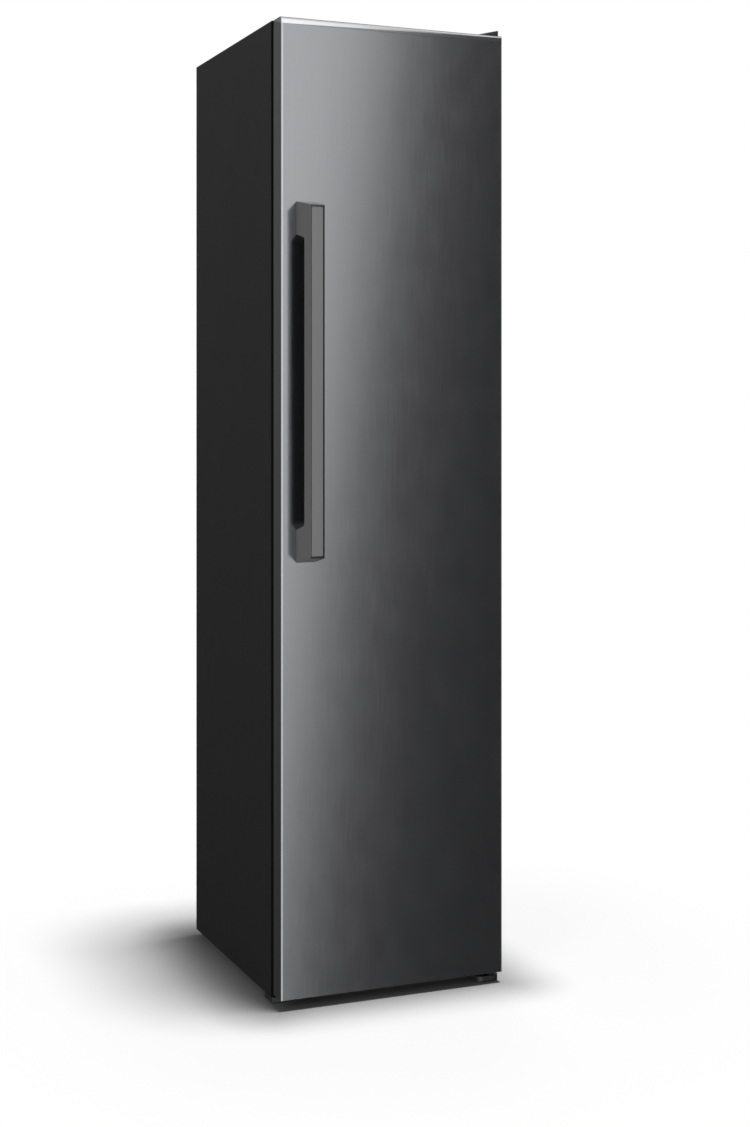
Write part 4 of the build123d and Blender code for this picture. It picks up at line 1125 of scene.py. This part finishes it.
class FREEZER_OT_cold_space(bpy.types.Operator):
    """Make the rounded liner, the shelves with their rails, the basket and the air cover"""

    bl_idname = "freezer.cold_space"
    bl_label = "Cold space"

    def execute(self, context):
        sizes = context.scene.freezer_sizes
        glass_edge = 1.4 * mm
        cover_edge = 0.7 * mm
        shelves = nodes_named("glass_shelf_")
        self.liner(shelves, sizes)
        for node in shelves:
            low, high = box(node)
            stand_in(node + "_polished", mesh_of(node, rounded_block(low, high, glass_edge)), node)
        self.rails(shelves)
        self.basket(sizes)
        softened("evaporator_cover", cover_edge)
        return {"FINISHED"}

    def liner(self, shelves, sizes):
        """The white liner: one formed sheet round the cold space, with its rim and the shelf ledges."""
        cover_low, cover_high = box("evaporator_cover")
        basket_low, basket_high = box("freezer_basket")
        rim_low, rim_high = box("inner_liner")
        side_gap = 0.5 * mm
        step_gap = 4 * mm
        overrun = 30 * mm
        round_steps = 5
        side = cover_high.x + side_gap
        front = rim_low.y
        back = rim_high.y - sizes.liner_sheet
        step_front = basket_high.y + step_gap
        outline = [(front - overrun, basket_low.z), (step_front, basket_low.z), (step_front, cover_low.z),
                   (back, cover_low.z), (back, cover_high.z), (front - overrun, cover_high.z)]
        mesh = mesh_of("cold_space", loft([stood(outline, "X", -side), stood(outline, "X", side)]))
        work = bmesh.new()
        work.from_mesh(mesh)
        mouth = min(work.faces, key=lambda face: face.calc_center_median().y)
        mouth_edges = set(mouth.edges)
        inner = [edge for edge in work.edges if edge not in mouth_edges]
        rounded(work, inner, sizes.liner_round, round_steps)
        bmesh.ops.bisect_plane(work, geom=[*work.verts, *work.edges, *work.faces], dist=weld,
                               plane_co=(0, front, 0), plane_no=(0, -1, 0), clear_outer=True)
        bmesh.ops.reverse_faces(work, faces=work.faces)
        border = [edge for edge in work.edges if edge.is_boundary]
        verts = [work.verts.new(point) for point in stood(front_corners(rim_low, rim_high), "Y", front)]
        border += [work.edges.new((verts[index - 1], verts[index])) for index in range(len(verts))]
        filled = bmesh.ops.triangle_fill(work, use_beauty=True, edges=border)["geom"]
        rim = [item for item in filled if isinstance(item, bmesh.types.BMFace)]
        bmesh.ops.reverse_faces(work, faces=[face for face in rim if face.normal.y > 0])
        work.to_mesh(mesh)
        work.free()
        ledges = [self.ledge(node, way, side) for node in shelves for way in (-1, 1)]
        sheet = thickened(in_order(mesh), sizes.liner_sheet)
        mesh = mesh_of("inner_liner_formed", shells_of(sheet), *ledges)
        stand_in("inner_liner_formed", mesh, "inner_liner")

    def ledge(self, node, way, side):
        """The moulded ledge under one end of a shelf."""
        low, high = box(node)
        start = box("shelf_trims")[0].y
        reach = 10 * mm
        overlap = 0.8 * mm
        tall = 6 * mm
        edge = 1.5 * mm
        x = sorted((way * (side - reach), way * (side + overlap)))
        return rounded_block((x[0], start, low.z - tall), (x[1], high.y, low.z), edge)

    def rails(self, shelves):
        """The rail that grips each shelf's front edge: a round nose and a thinner lip behind."""
        trim_low, trim_high = box("shelf_trims")
        depth = 14 * mm
        tall = 11 * mm
        nose = 3.5 * mm
        lip = 3 * mm
        steps = 5
        shells = []
        for node in shelves:
            glass_low, glass_high = box(node)
            y = trim_low.y
            z = glass_low.z
            outline = arc((y + nose, z + nose), nose, 2, 3, steps)
            outline += [(glass_low.y, z), (glass_low.y, glass_high.z), (y + depth, glass_high.z),
                        (y + depth, glass_high.z + lip)]
            outline += arc((y + nose, z + tall - nose), nose, 1, 2, steps)
            shells.append(loft([stood(outline, "X", trim_low.x), stood(outline, "X", trim_high.x)]))
        stand_in("shelf_rails", mesh_of("shelf_rails", *shells), "shelf_trims")

    def basket(self, sizes):
        """The basket with its wide rim and upright ribs on its front."""
        low, high = box("freezer_basket")
        corner = 22 * mm
        fillet = 8 * mm
        count = 15
        margin = 45 * mm
        end_gap = 34 * mm
        lowered = 8 * mm
        shell = tub(low, high, sizes.basket_wall, corner, sizes.basket_rim, fillet)
        pitch = (high.x - low.x - 2 * margin) / (count - 1)
        half = Vector((0, 0, (high.z - low.z) / 2 - end_gap))
        start = Vector((low.x + margin, low.y + sizes.basket_rim, (low.z + high.z) / 2 - lowered))
        ribs = beads(start, Vector((pitch, 0, 0)), count, half, sizes.bead, "clear_bin")
        mesh = mesh_of("freezer_basket_ribbed", shell, shells_of(ribs))
        stand_in("freezer_basket_ribbed", mesh, "freezer_basket")


class FREEZER_OT_controls(bpy.types.Operator):
    """Make the control housing with its lens, scalloped knob, plain dial numbers and push button"""

    bl_idname = "freezer.controls"
    bl_label = "Controls"

    def execute(self, context):
        sizes = context.scene.freezer_sizes
        housing_edge = 0.9 * mm
        softened("control_housing", housing_edge)
        self.lens()
        self.knob(sizes)
        self.dial(sizes)
        self.button()
        return {"FINISHED"}

    def lens(self):
        """The lamp's pane with flutes on its lower face."""
        low, high = box("lamp_lens")
        lip = 2 * mm
        edge = 0.4 * mm
        count = 22
        margin = 6 * mm
        end_gap = 5 * mm
        radius = 0.8 * mm
        rise = 0.9 * mm
        step = (low.z + high.z) / 2
        pane = rounded_block((low.x + lip, low.y + lip, low.z), (high.x - lip, high.y - lip, step), edge)
        ledge = rounded_block((low.x, low.y, step), (high.x, high.y, high.z), edge)
        pitch = (high.x - low.x - 2 * margin) / (count - 1)
        half = Vector((0, (high.y - low.y) / 2 - end_gap, 0))
        start = Vector((low.x + margin, (low.y + high.y) / 2, low.z + rise))
        flutes = beads(start, Vector((pitch, 0, 0)), count, half, radius, "lens")
        mesh = mesh_of("lamp_lens_fluted", pane, ledge, shells_of(flutes))
        stand_in("lamp_lens_fluted", mesh, "lamp_lens")

    def knob(self, sizes):
        """The knob: finger hollows round its skirt, a grip bar across its face and a pointer line."""
        low, high = box("control_knob")
        centre = (low + high) / 2
        radius = (high.x - low.x) / 2
        shaft = 9 * mm
        skirt = 5.5 * mm
        overlap = 0.5 * mm
        back = high.y - shaft
        face = back - skirt
        points_each = 6
        count = sizes.scallops * points_each
        hollow = 0.7 * mm
        profile = ((0.4 * mm, back), (0, back - 0.5 * mm), (0, face + 1.2 * mm),
                   (0.35 * mm, face + 0.4 * mm), (1.2 * mm, face))
        rings = []
        for inset, y in profile:
            def reach(angle):
                return radius - inset - hollow * (0.5 - 0.5 * math.cos(sizes.scallops * angle)) ** 2

            rings.append(stood(wheel((centre.x, centre.z), reach, count), "Y", y))
        grip_half = 2.5 * mm
        grip_tall = radius - 2 * mm
        grip_edge = 1.1 * mm
        grip = rounded_block((centre.x - grip_half, low.y, centre.z - grip_tall),
                             (centre.x + grip_half, face + overlap, centre.z + grip_tall), grip_edge)
        stem_radius = 4 * mm
        stem_edge = 0.6 * mm
        stem = turned([(stem_radius, back - overlap), (stem_radius, high.y - stem_edge),
                       (stem_radius - stem_edge, high.y)], "Y", (centre.x, 0, centre.z))
        mesh = mesh_of("control_knob_scalloped", loft(rings), grip, stem)
        stand_in("control_knob_scalloped", mesh, "control_knob")
        line_half = 0.5 * mm
        line_proud = 0.15 * mm
        line_sunk = 0.6 * mm
        line_edge = 0.14 * mm
        line_start = 0.35 * grip_tall
        line_end = grip_tall - 1.3 * mm
        line = rounded_block((centre.x - line_half, low.y - line_proud, centre.z + line_start),
                             (centre.x + line_half, low.y + line_sunk, centre.z + line_end), line_edge)
        add_piece("knob_pointer", mesh_of("knob_pointer", line), "liner_white", "knob")

    def dial(self, sizes):
        """Plain numbers on the housing round the knob."""
        low, high = box("control_knob")
        centre = (low + high) / 2
        front = box("control_housing")[0].y
        gap = 3.1 * mm
        tall = 4.2 * mm
        highest = 19 * mm
        lowered = 18.2 * mm
        sweep = math.radians(270)
        reach = (high.x - low.x) / 2 + gap
        shells = []
        for index in range(sizes.numerals):
            angle = sweep * index / (sizes.numerals - 1)
            place = Vector((centre.x - reach * math.sin(angle), front, centre.z + reach * math.cos(angle)))
            rise = place.z - centre.z
            if abs(rise) > highest:
                place.z = centre.z + math.copysign(lowered, rise)
            shells.append(numeral(str(index + 1), tall, place))
        add_piece("dial_numbers", mesh_of("dial_numbers", *shells), "knob_grey", "cabinet")

    def button(self):
        """The push button with a dished face, a stem and a collar behind the wall."""
        low, high = box("freeze_button")
        centre = (low + high) / 2
        collar = (high.x - low.x) / 2
        stem = collar - 2 * mm
        inside = high.y - 3 * mm
        segments = 40
        dish = ((0.25, 0.9), (0.55, 0.65), (0.8, 0.2))
        edge = ((0.7, 0), (0.2, 0.2), (0, 0.8))
        profile = [(share * stem, low.y + depth * mm) for share, depth in dish]
        profile += [(stem - inset * mm, low.y + depth * mm) for inset, depth in edge]
        profile += [(stem, inside), (collar, inside), (collar, high.y)]
        mesh = mesh_of("freeze_button_dished", turned(profile, "Y", (centre.x, 0, centre.z), segments))
        stand_in("freeze_button_dished", mesh, "freeze_button")


class FREEZER_OT_door(bpy.types.Operator):
    """Make the door's formed liner, its seal, its caps and the door bins"""

    bl_idname = "freezer.door"
    bl_label = "Door"

    def execute(self, context):
        sizes = context.scene.freezer_sizes
        top_edge = 0.8 * mm
        bottom_edge = 0.5 * mm
        softened("door_top_cap", top_edge)
        softened("door_bottom_cap", bottom_edge)
        self.liner(sizes)
        self.seal()
        for node in nodes_named("door_bin_"):
            self.bin(node, sizes)
        return {"FINISHED"}

    def liner(self, sizes):
        """The white inner door: a formed sheet with its plug, two dykes and the lugs for the bins."""
        high = box("door_liner")[1]
        bin_low, bin_high = box("door_bin_1")
        space_high = box("evaporator_cover")[1]
        space_foot = box("freezer_basket")[0].z
        rim = box("door_gasket")[0].y
        radius = sizes.door_form_round
        side_gap = 0.5 * mm
        bin_gap = 0.3 * mm
        plug_gap = 7 * mm
        plug_corner = 16 * mm
        plug_side = space_high.x + side_gap - plug_gap
        plug_z = (space_foot + plug_gap, space_high.z - plug_gap)
        plug_back = bin_low.y - bin_gap
        dyke_wide = 18 * mm
        dyke_short = 60 * mm
        dyke_foot = 0.4 * mm
        dyke_corner = radius + 1 * mm
        dyke_inner = bin_high.x + side_gap
        dyke_outer = dyke_inner + dyke_wide
        dyke_z = shrunk((space_foot, space_high.z), dyke_short)
        dykes = [(form_rings(tuple(sorted((way * dyke_inner, way * dyke_outer))), dyke_z, dyke_corner,
                             high.y - plug_back, dyke_foot, radius, plug_back), []) for way in (-1, 1)]
        plug = form_rings((-plug_side, plug_side), plug_z, plug_corner, plug_back - rim, radius, radius, rim)
        sheet = formed_sheet("door_liner", "door_liner", rim, [(plug, dykes)], sizes.liner_sheet)
        lugs = [self.lug(node, way, dyke_inner) for node in nodes_named("door_bin_") for way in (-1, 1)]
        mesh = mesh_of("door_liner_formed", shells_of(sheet), *lugs)
        stand_in("door_liner_formed", mesh, "door_liner")
        self.foam(plug_side, sum(plug_z) / 2)

    def lug(self, node, way, dyke):
        """The lug on a dyke, under one end of a bin."""
        low, high = box(node)
        overlap = 1 * mm
        reach = 6 * mm
        inset = 12 * mm
        tall = 4 * mm
        edge = 1.2 * mm
        x = sorted((way * (dyke + overlap), way * (dyke - reach)))
        return rounded_block((x[0], low.y + inset, low.z - tall), (x[1], high.y - inset, low.z), edge)

    def foam(self, plug_side, waist):
        """The foam, set back inside the liner's plug."""
        setback = 6 * mm
        foam = softened_mesh("door_foam")
        for vertex in foam.vertices:
            if abs(vertex.co.x) < plug_side:
                vertex.co.x -= math.copysign(setback, vertex.co.x)
                vertex.co.z -= math.copysign(setback, vertex.co.z - waist)
        stand_in("door_foam_set_back", foam, "door_foam")

    def seal(self):
        """The seal: folded bellows with the magnet's flat chamber, mitred at the corners.

        The points of its section are in millimetres, inwards and backwards.
        """
        low, high = box("door_gasket")
        deep = (high.y - low.y) / mm
        section = [(2.0, 0), (0.6, 1.0), (0, 2.3), (1.9, 3.5), (1.9, 4.1), (0.2, 5.2), (0, deep - 1.3),
                   (0.9, deep - 0.2), (1.6, deep), (12.4, deep), (13.2, deep - 0.3), (13.8, deep - 1.4),
                   (13.6, 6.0), (12.2, 5.0), (12.4, 4.2), (15.6, 3.2), (16.0, 2.0), (14.2, 0)]
        rings = []
        for right, upper in ((False, False), (True, False), (True, True), (False, True)):
            ring = []
            for inset, back in section:
                x = high.x - inset * mm if right else low.x + inset * mm
                z = high.z - inset * mm if upper else low.z + inset * mm
                ring.append(Vector((x, low.y + back * mm, z)))
            rings.append(ring)
        stand_in("door_seal", mesh_of("door_seal", loft(rings, wrap=True)), "door_gasket")

    def bin(self, node, sizes):
        """One door bin: a tub with a rim, and four beads across the face that the open door shows."""
        low, high = box(node)
        fillet = 3 * mm
        count = 4
        foot = 26 * mm
        pitch = 14 * mm
        end_gap = 26 * mm
        shell = tub(low, high, sizes.bin_wall, sizes.bin_corner, sizes.bin_rim, fillet)
        start = Vector((0, high.y - sizes.bin_rim, low.z + foot))
        half = Vector(((high.x - low.x) / 2 - end_gap, 0, 0))
        rows = beads(start, Vector((0, 0, pitch)), count, half, sizes.bead, "clear_bin")
        stand_in(node + "_ribbed", mesh_of(node + "_ribbed", shell, shells_of(rows)), node)


class FREEZER_OT_handle(bpy.types.Operator):
    """Make the bar handle with its rounded edges and brushed face"""

    bl_idname = "freezer.handle"
    bl_label = "Handle"

    def execute(self, context):
        sizes = context.scene.freezer_sizes
        softened("handle_body", sizes.handle_edge)
        softened("handle_face", sizes.handle_edge / 2)
        return {"FINISHED"}


class FREEZER_OT_machine_room(bpy.types.Operator):
    """Make the tray, the terminal cover, the inlet and the rubber feet of the machine room"""

    bl_idname = "freezer.machine_room"
    bl_label = "Machine room"

    def execute(self, context):
        low, high = box("evaporation_tray")
        wall = 2 * mm
        rim = 2 * mm
        corner = 14 * mm
        fillet = 4 * mm
        mesh = mesh_of("evaporation_tray_moulded", tub(low, high, wall, corner, rim, fillet))
        stand_in("evaporation_tray_moulded", mesh, "evaporation_tray")
        edges = {"terminal_cover": 1.2 * mm, "power_inlet": 0.7 * mm, "compressor_grommets": 1.0 * mm}
        for node, edge in edges.items():
            softened(node, edge)
        return {"FINISHED"}


class FREEZER_OT_feet(bpy.types.Operator):
    """Make the threaded feet and the rollers"""

    bl_idname = "freezer.feet"
    bl_label = "Feet and rollers"

    def execute(self, context):
        sizes = context.scene.freezer_sizes
        bracket_edge = 0.5 * mm
        for side in ("left", "right"):
            self.pad(side)
            self.stud(side, sizes)
            self.roller(side)
        softened("roller_brackets", bracket_edge)
        return {"FINISHED"}

    def pad(self, side):
        """A foot's pad: a round sole, a knurled rim, a sloping top and the socket for its stud."""
        node = "foot_pad_" + side
        low, high = box(node)
        centre = (low + high) / 2
        radius = (high.x - low.x) / 2
        tall = high.z - low.z
        ridges = 20
        points_each = 4
        count = ridges * points_each
        sole_edge = 0.8 * mm
        knurl = 0.5 * mm
        knurl_top = 0.62 * tall
        slope_inset = 1.4 * mm
        slope_foot = 0.86 * tall
        collar_inset = 0.34 * radius
        socket = 4.05 * mm
        socket_depth = 3.5 * mm
        profile = ((sole_edge, 0, 0), (0, sole_edge, knurl), (0, knurl_top, knurl),
                   (slope_inset, slope_foot, 0), (collar_inset, tall, 0))
        rings = []
        for inset, z, depth in profile:
            def reach(angle):
                return radius - inset - depth * (0.5 - 0.5 * math.cos(ridges * angle))

            rings.append(stood(wheel(centre, reach, count), "Z", low.z + z))
        for z in (high.z, high.z - socket_depth):
            rings.append(stood(wheel(centre, lambda angle: socket, count), "Z", z))
        stand_in(node + "_knurled", mesh_of(node, loft(rings)), node)

    def stud(self, side, sizes):
        """A foot's stud with its real thread, which winds as a helix. It narrows at both ends."""
        node = "foot_stud_" + side
        low, high = box(node)
        centre = (low + high) / 2
        radius = (high.x - low.x) / 2
        segments = 20
        rows = 8
        taper = 0.5 * mm
        taper_length = mm
        top_share = 0.3
        turns = (high.z - low.z) / sizes.thread_pitch
        rings = []
        for row in range(int(turns * rows) + 1):
            z = min(low.z + row * sizes.thread_pitch / rows, high.z)
            end = min(1.0, (z - low.z) / taper_length, (high.z - z) / taper_length + top_share)
            ring = []
            for index in range(segments):
                wave = (row / rows - index / segments) % 1.0
                depth = sizes.thread_depth * (1 - abs(2 * wave - 1))
                reach = radius - depth - taper * (1 - end)
                angle = whole * index / segments
                ring.append((centre.x + reach * math.cos(angle), centre.y + reach * math.sin(angle)))
            rings.append(stood(ring, "Z", z))
        stand_in(node + "_threaded", mesh_of(node, loft(rings)), node)

    def roller(self, side):
        """A roller: a crowned tread, dished sides and a bored hub."""
        node = "roller_" + side
        low, high = box(node)
        centre = (low + high) / 2
        radius = (high.z - low.z) / 2
        half = (high.x - low.x) / 2
        segments = 40
        bore = 3.08 * mm
        hub = 6 * mm
        rim = radius - 3.5 * mm
        dish = half - 2.5 * mm
        shoulder = half - 0.4 * mm
        upper = [(bore, half), (hub, half), (hub, dish), (rim, dish), (rim, shoulder),
                 (radius - 1.6 * mm, shoulder), (radius - 0.4 * mm, half - 1.6 * mm), (radius, half - 4 * mm)]
        profile = upper + [(reach, -place) for reach, place in reversed(upper)]
        mesh = mesh_of(node, turned(profile, "X", centre, segments, wrap=True))
        stand_in(node + "_dished", mesh, node)


class FREEZER_OT_screws(bpy.types.Operator):
    """Make the cabinet's screws with their cross recesses"""

    bl_idname = "freezer.screws"
    bl_label = "Screws"

    def execute(self, context):
        sizes = context.scene.freezer_sizes
        grommet_top = box("compressor_grommets")[1].z
        near = 8 * mm
        cabinet_middle = 1.0
        tip_radius = 1.6 * mm
        shank_radius = 2.5 * mm
        tip = 1.2 * mm
        segments = 12
        places = []
        shanks = []
        for low, high in self.islands():
            centre = (low + high) / 2
            looks_up = centre.z > cabinet_middle or abs(high.z - grommet_top) < near
            way = Vector((0, 0, 1 if looks_up else -1))
            seat = high.z - sizes.head_height if looks_up else low.z + sizes.head_height
            places.append((Vector((centre.x, centre.y, seat)), way))
            foot, top = sorted((seat, low.z if looks_up else high.z))
            shanks.append(turned([(tip_radius, foot), (shank_radius, foot + tip), (shank_radius, top - tip),
                                  (tip_radius, top)], "Z", (centre.x, centre.y, 0), segments))
        heads = screw_heads(places, sizes.head_radius, sizes.head_height, "zinc")
        mesh = mesh_of("cabinet_screws_crossed", shells_of(heads), *shanks)
        stand_in("cabinet_screws_crossed", mesh, "cabinet_screws")
        return {"FINISHED"}

    def islands(self):
        """The box of each separate screw in the frame."""
        work = bmesh.new()
        work.from_mesh(frame["nodes"]["cabinet_screws"].data)
        bmesh.ops.remove_doubles(work, verts=work.verts, dist=weld)
        left = set(work.verts)
        boxes = []
        while left:
            group = [left.pop()]
            for vertex in group:
                for edge in vertex.link_edges:
                    other = edge.other_vert(vertex)
                    if other in left:
                        left.remove(other)
                        group.append(other)
            low = Vector([min(vertex.co[axis] for vertex in group) for axis in range(3)])
            high = Vector([max(vertex.co[axis] for vertex in group) for axis in range(3)])
            boxes.append((low, high))
        work.free()
        return sorted(boxes, key=lambda item: tuple(item[0]))


class FREEZER_OT_stage(bpy.types.Operator):
    """Make the floor, the surroundings, the lamps and the camera"""

    bl_idname = "freezer.stage"
    bl_label = "Stage"

    def execute(self, context):
        studio = context.scene.freezer_studio
        context.scene.view_settings.view_transform = "Standard"
        self.world(context.scene, studio)
        self.floor()
        self.walls(studio)
        self.overhead(studio)
        self.lamp("window_lamp", place=(-3.2, -3.0, 2.2), target=(0, 0, 1.1), size=(1.6, 2.2),
                  power=studio.window_lamp)
        self.lamp("back_lamp", place=(1.6, 4.0, 2.4), target=(0, 0, 0.9), size=(2.2, 2.2),
                  power=studio.back_lamp)
        self.camera(context.scene)
        return {"FINISHED"}

    def world(self, scene, studio):
        """White to the camera, to metal and through glass, and an even fill for all else."""
        scene.world = bpy.data.worlds.new("studio")
        scene.world.use_nodes = True
        scene.world.node_tree.nodes.clear()
        sky = Tree(scene.world.node_tree)
        seen = [sky.node("ShaderNodeLightPath", output=ray)
                for ray in ("Is Camera Ray", "Is Glossy Ray", "Is Transmission Ray")]
        either = seen[0].maths("MAXIMUM", seen[0], seen[1])
        either = either.maths("MAXIMUM", either, seen[2])
        glow = studio.fill + (1 - studio.fill) * either
        light = sky.node("ShaderNodeBackground", {}, {"Color": white, "Strength": glow})
        sky.node("ShaderNodeOutputWorld", {}, {"Surface": light})

    def floor(self):
        """A white floor with a painted shadow round the freezer's foot, which runs out into plain white."""
        half = 30.0
        shade_full = -0.04
        shade_end = 0.17
        plain_start = 0.6
        plain_full = 1.1
        # The floor's colour inside its painted shadow and away from it.
        shaded = (0.20, 0.20, 0.20)
        lit = (0.50, 0.50, 0.50)
        mesh = bpy.data.meshes.new("floor")
        mesh.from_pydata([(-half, -half, 0), (half, -half, 0), (half, half, 0), (-half, half, 0)], [],
                         [(0, 1, 2, 3)])
        paper = Finish("floor_white")
        far = paper.faded(paper.vector("LENGTH", paper.place, output="Value"), plain_start, plain_full)
        front = box("door_skin")[0]
        back = box("rear_panel")[1]
        half_size = (back - front) / 2
        half_size.z = 1.0
        centre = (back + front) / 2
        centre.z = 0
        folded = paper.vector("ABSOLUTE", paper.vector("SUBTRACT", paper.place, centre))
        outside = paper.vector("MAXIMUM", paper.vector("SUBTRACT", folded, half_size))
        gap = paper.vector("LENGTH", outside, output="Value")
        # Painted shadow: the floor's colour darkens towards the freezer's footprint.
        near = paper.faded(gap, shade_full, shade_end)
        matt = paper.node("ShaderNodeBsdfDiffuse", {}, {"Color": paper.blend(shaded, lit, near)})
        glow = paper.node("ShaderNodeEmission", {}, {"Color": white, "Strength": 1.0})
        seen = paper.node("ShaderNodeLightPath", output="Is Camera Ray")
        mixed = paper.node("ShaderNodeMixShader", {}, {0: far * seen, 1: matt, 2: glow})
        paper.node("ShaderNodeOutputMaterial", {}, {"Surface": mixed})
        mesh.materials.append(paper.material)
        floor = placed("floor", mesh)
        floor.visible_glossy = False

    def walls(self, studio):
        """Round grey walls, open above, with a tall slanted screen and a soft one, seen in reflections alone.

        Angles are in degrees to the right of the front, seen from the middle.
        """
        radius = 6.0
        foot = -3.0
        top = 5.0
        segments = 96
        side_start = -110.0
        side_full = -10.0
        side_end = -2.0
        mesh = mesh_of("studio_walls", turned([(radius, foot), (radius, top)], "Z", (0, 0, 0), segments))
        work = bmesh.new()
        work.from_mesh(mesh)
        lid = [face for face in work.faces if face.calc_center_median().z > top - mm]
        bmesh.ops.delete(work, geom=lid, context="FACES_ONLY")
        work.to_mesh(mesh)
        work.free()
        wall = Finish("wall_grey")
        across = wall.axis("X")
        depth = wall.axis("Y")
        height = wall.axis("Z")
        degrees = across.maths("ARCTAN2", across, depth * -1) * (180 / math.pi)
        behind = wall.faded(height, foot, top) * wall.faded(depth, -radius, radius)
        left = wall.faded(degrees, studio.screen_start - studio.screen_fade,
                          studio.screen_start + studio.screen_fade)
        right = wall.faded(degrees - height * studio.screen_slant,
                           studio.screen_end + studio.screen_fade / 2,
                           studio.screen_end - studio.screen_fade / 2)
        side = wall.faded(degrees, side_start, side_full) * wall.faded(degrees, side_end, side_full)
        glow = studio.walls + behind * studio.wall_lift + left * right * studio.screen
        glow = glow + side * studio.side_screen
        shade = wall.node("ShaderNodeEmission", {}, {"Color": white, "Strength": glow})
        wall.node("ShaderNodeOutputMaterial", {}, {"Surface": shade})
        mesh.materials.append(wall.material)
        walls = placed("studio_walls", mesh)
        for ray in ("camera", "diffuse", "transmission", "volume_scatter", "shadow"):
            setattr(walls, "visible_" + ray, False)

    def overhead(self, studio):
        """A broad soft light from nearly straight above, a little from the right and the front."""
        light = bpy.data.lights.new("overhead", "SUN")
        light.energy = studio.overhead
        light.angle = math.radians(12)
        ray = Vector((-0.096, 0.060, -1))
        lamp = placed("overhead", light)
        lamp.rotation_euler = ray.to_track_quat("-Z", "Y").to_euler()
        lamp.visible_glossy = False

    def lamp(self, name, place, target, size, power):
        """A soft rectangular lamp that looks at a point."""
        light = bpy.data.lights.new(name, "AREA")
        light.shape = "RECTANGLE"
        light.size = size[0]
        light.size_y = size[1]
        light.energy = power
        lamp = placed(name, light)
        lamp.location = place
        lamp.rotation_euler = (Vector(target) - Vector(place)).to_track_quat("-Z", "Y").to_euler()
        lamp.visible_camera = False
        lamp.visible_glossy = False

    def camera(self, scene):
        """The camera at the photograph's viewing angle."""
        turn = math.radians(-22.57)
        view = bpy.data.cameras.new("camera")
        view.lens = 56.78
        view.sensor_width = 36.0
        view.shift_y = -0.1313
        camera = placed("camera", view)
        camera.location = (-1.4409, -3.6208, 1.1971)
        camera.rotation_euler = (quarter, 0, turn)
        scene.camera = camera


class FREEZER_PT_panel(bpy.types.Panel):
    """Lists the freezer's settings and its steps."""

    bl_idname = "FREEZER_PT_panel"
    bl_label = "Upright freezer"
    bl_space_type = "VIEW_3D"
    bl_region_type = "UI"
    bl_category = "Freezer"

    def draw(self, context):
        scene = context.scene
        for group in (scene.freezer_colours, scene.freezer_sizes, scene.freezer_studio):
            column = self.layout.column()
            for name in group.bl_rna.properties.keys():
                if name not in ("rna_type", "name"):
                    column.prop(group, name)
        for step in steps:
            self.layout.operator(step.bl_idname)


steps = (FREEZER_OT_finishes, FREEZER_OT_stage, FREEZER_OT_cabinet, FREEZER_OT_cold_space,
         FREEZER_OT_controls, FREEZER_OT_door, FREEZER_OT_handle, FREEZER_OT_machine_room,
         FREEZER_OT_feet, FREEZER_OT_screws)
groups = {"freezer_colours": FreezerColours, "freezer_sizes": FreezerSizes, "freezer_studio": FreezerStudio}


def register():
    """Make the settings, the steps and the panel known."""
    for group in groups.values():
        bpy.utils.register_class(group)
    for step in steps:
        bpy.utils.register_class(step)
    bpy.utils.register_class(FREEZER_PT_panel)
    for name, group in groups.items():
        setattr(bpy.types.Scene, name, PointerProperty(type=group))


def unregister():
    """Take them away again."""
    for name in groups:
        delattr(bpy.types.Scene, name)
    bpy.utils.unregister_class(FREEZER_PT_panel)
    for step in reversed(steps):
        bpy.utils.unregister_class(step)
    for group in groups.values():
        bpy.utils.unregister_class(group)


def main():
    """Runs every step in order."""
    register()
    for step in steps:
        getattr(bpy.ops.freezer, step.bl_idname.split(".")[1])()


if __name__ == "__main__":
    main()
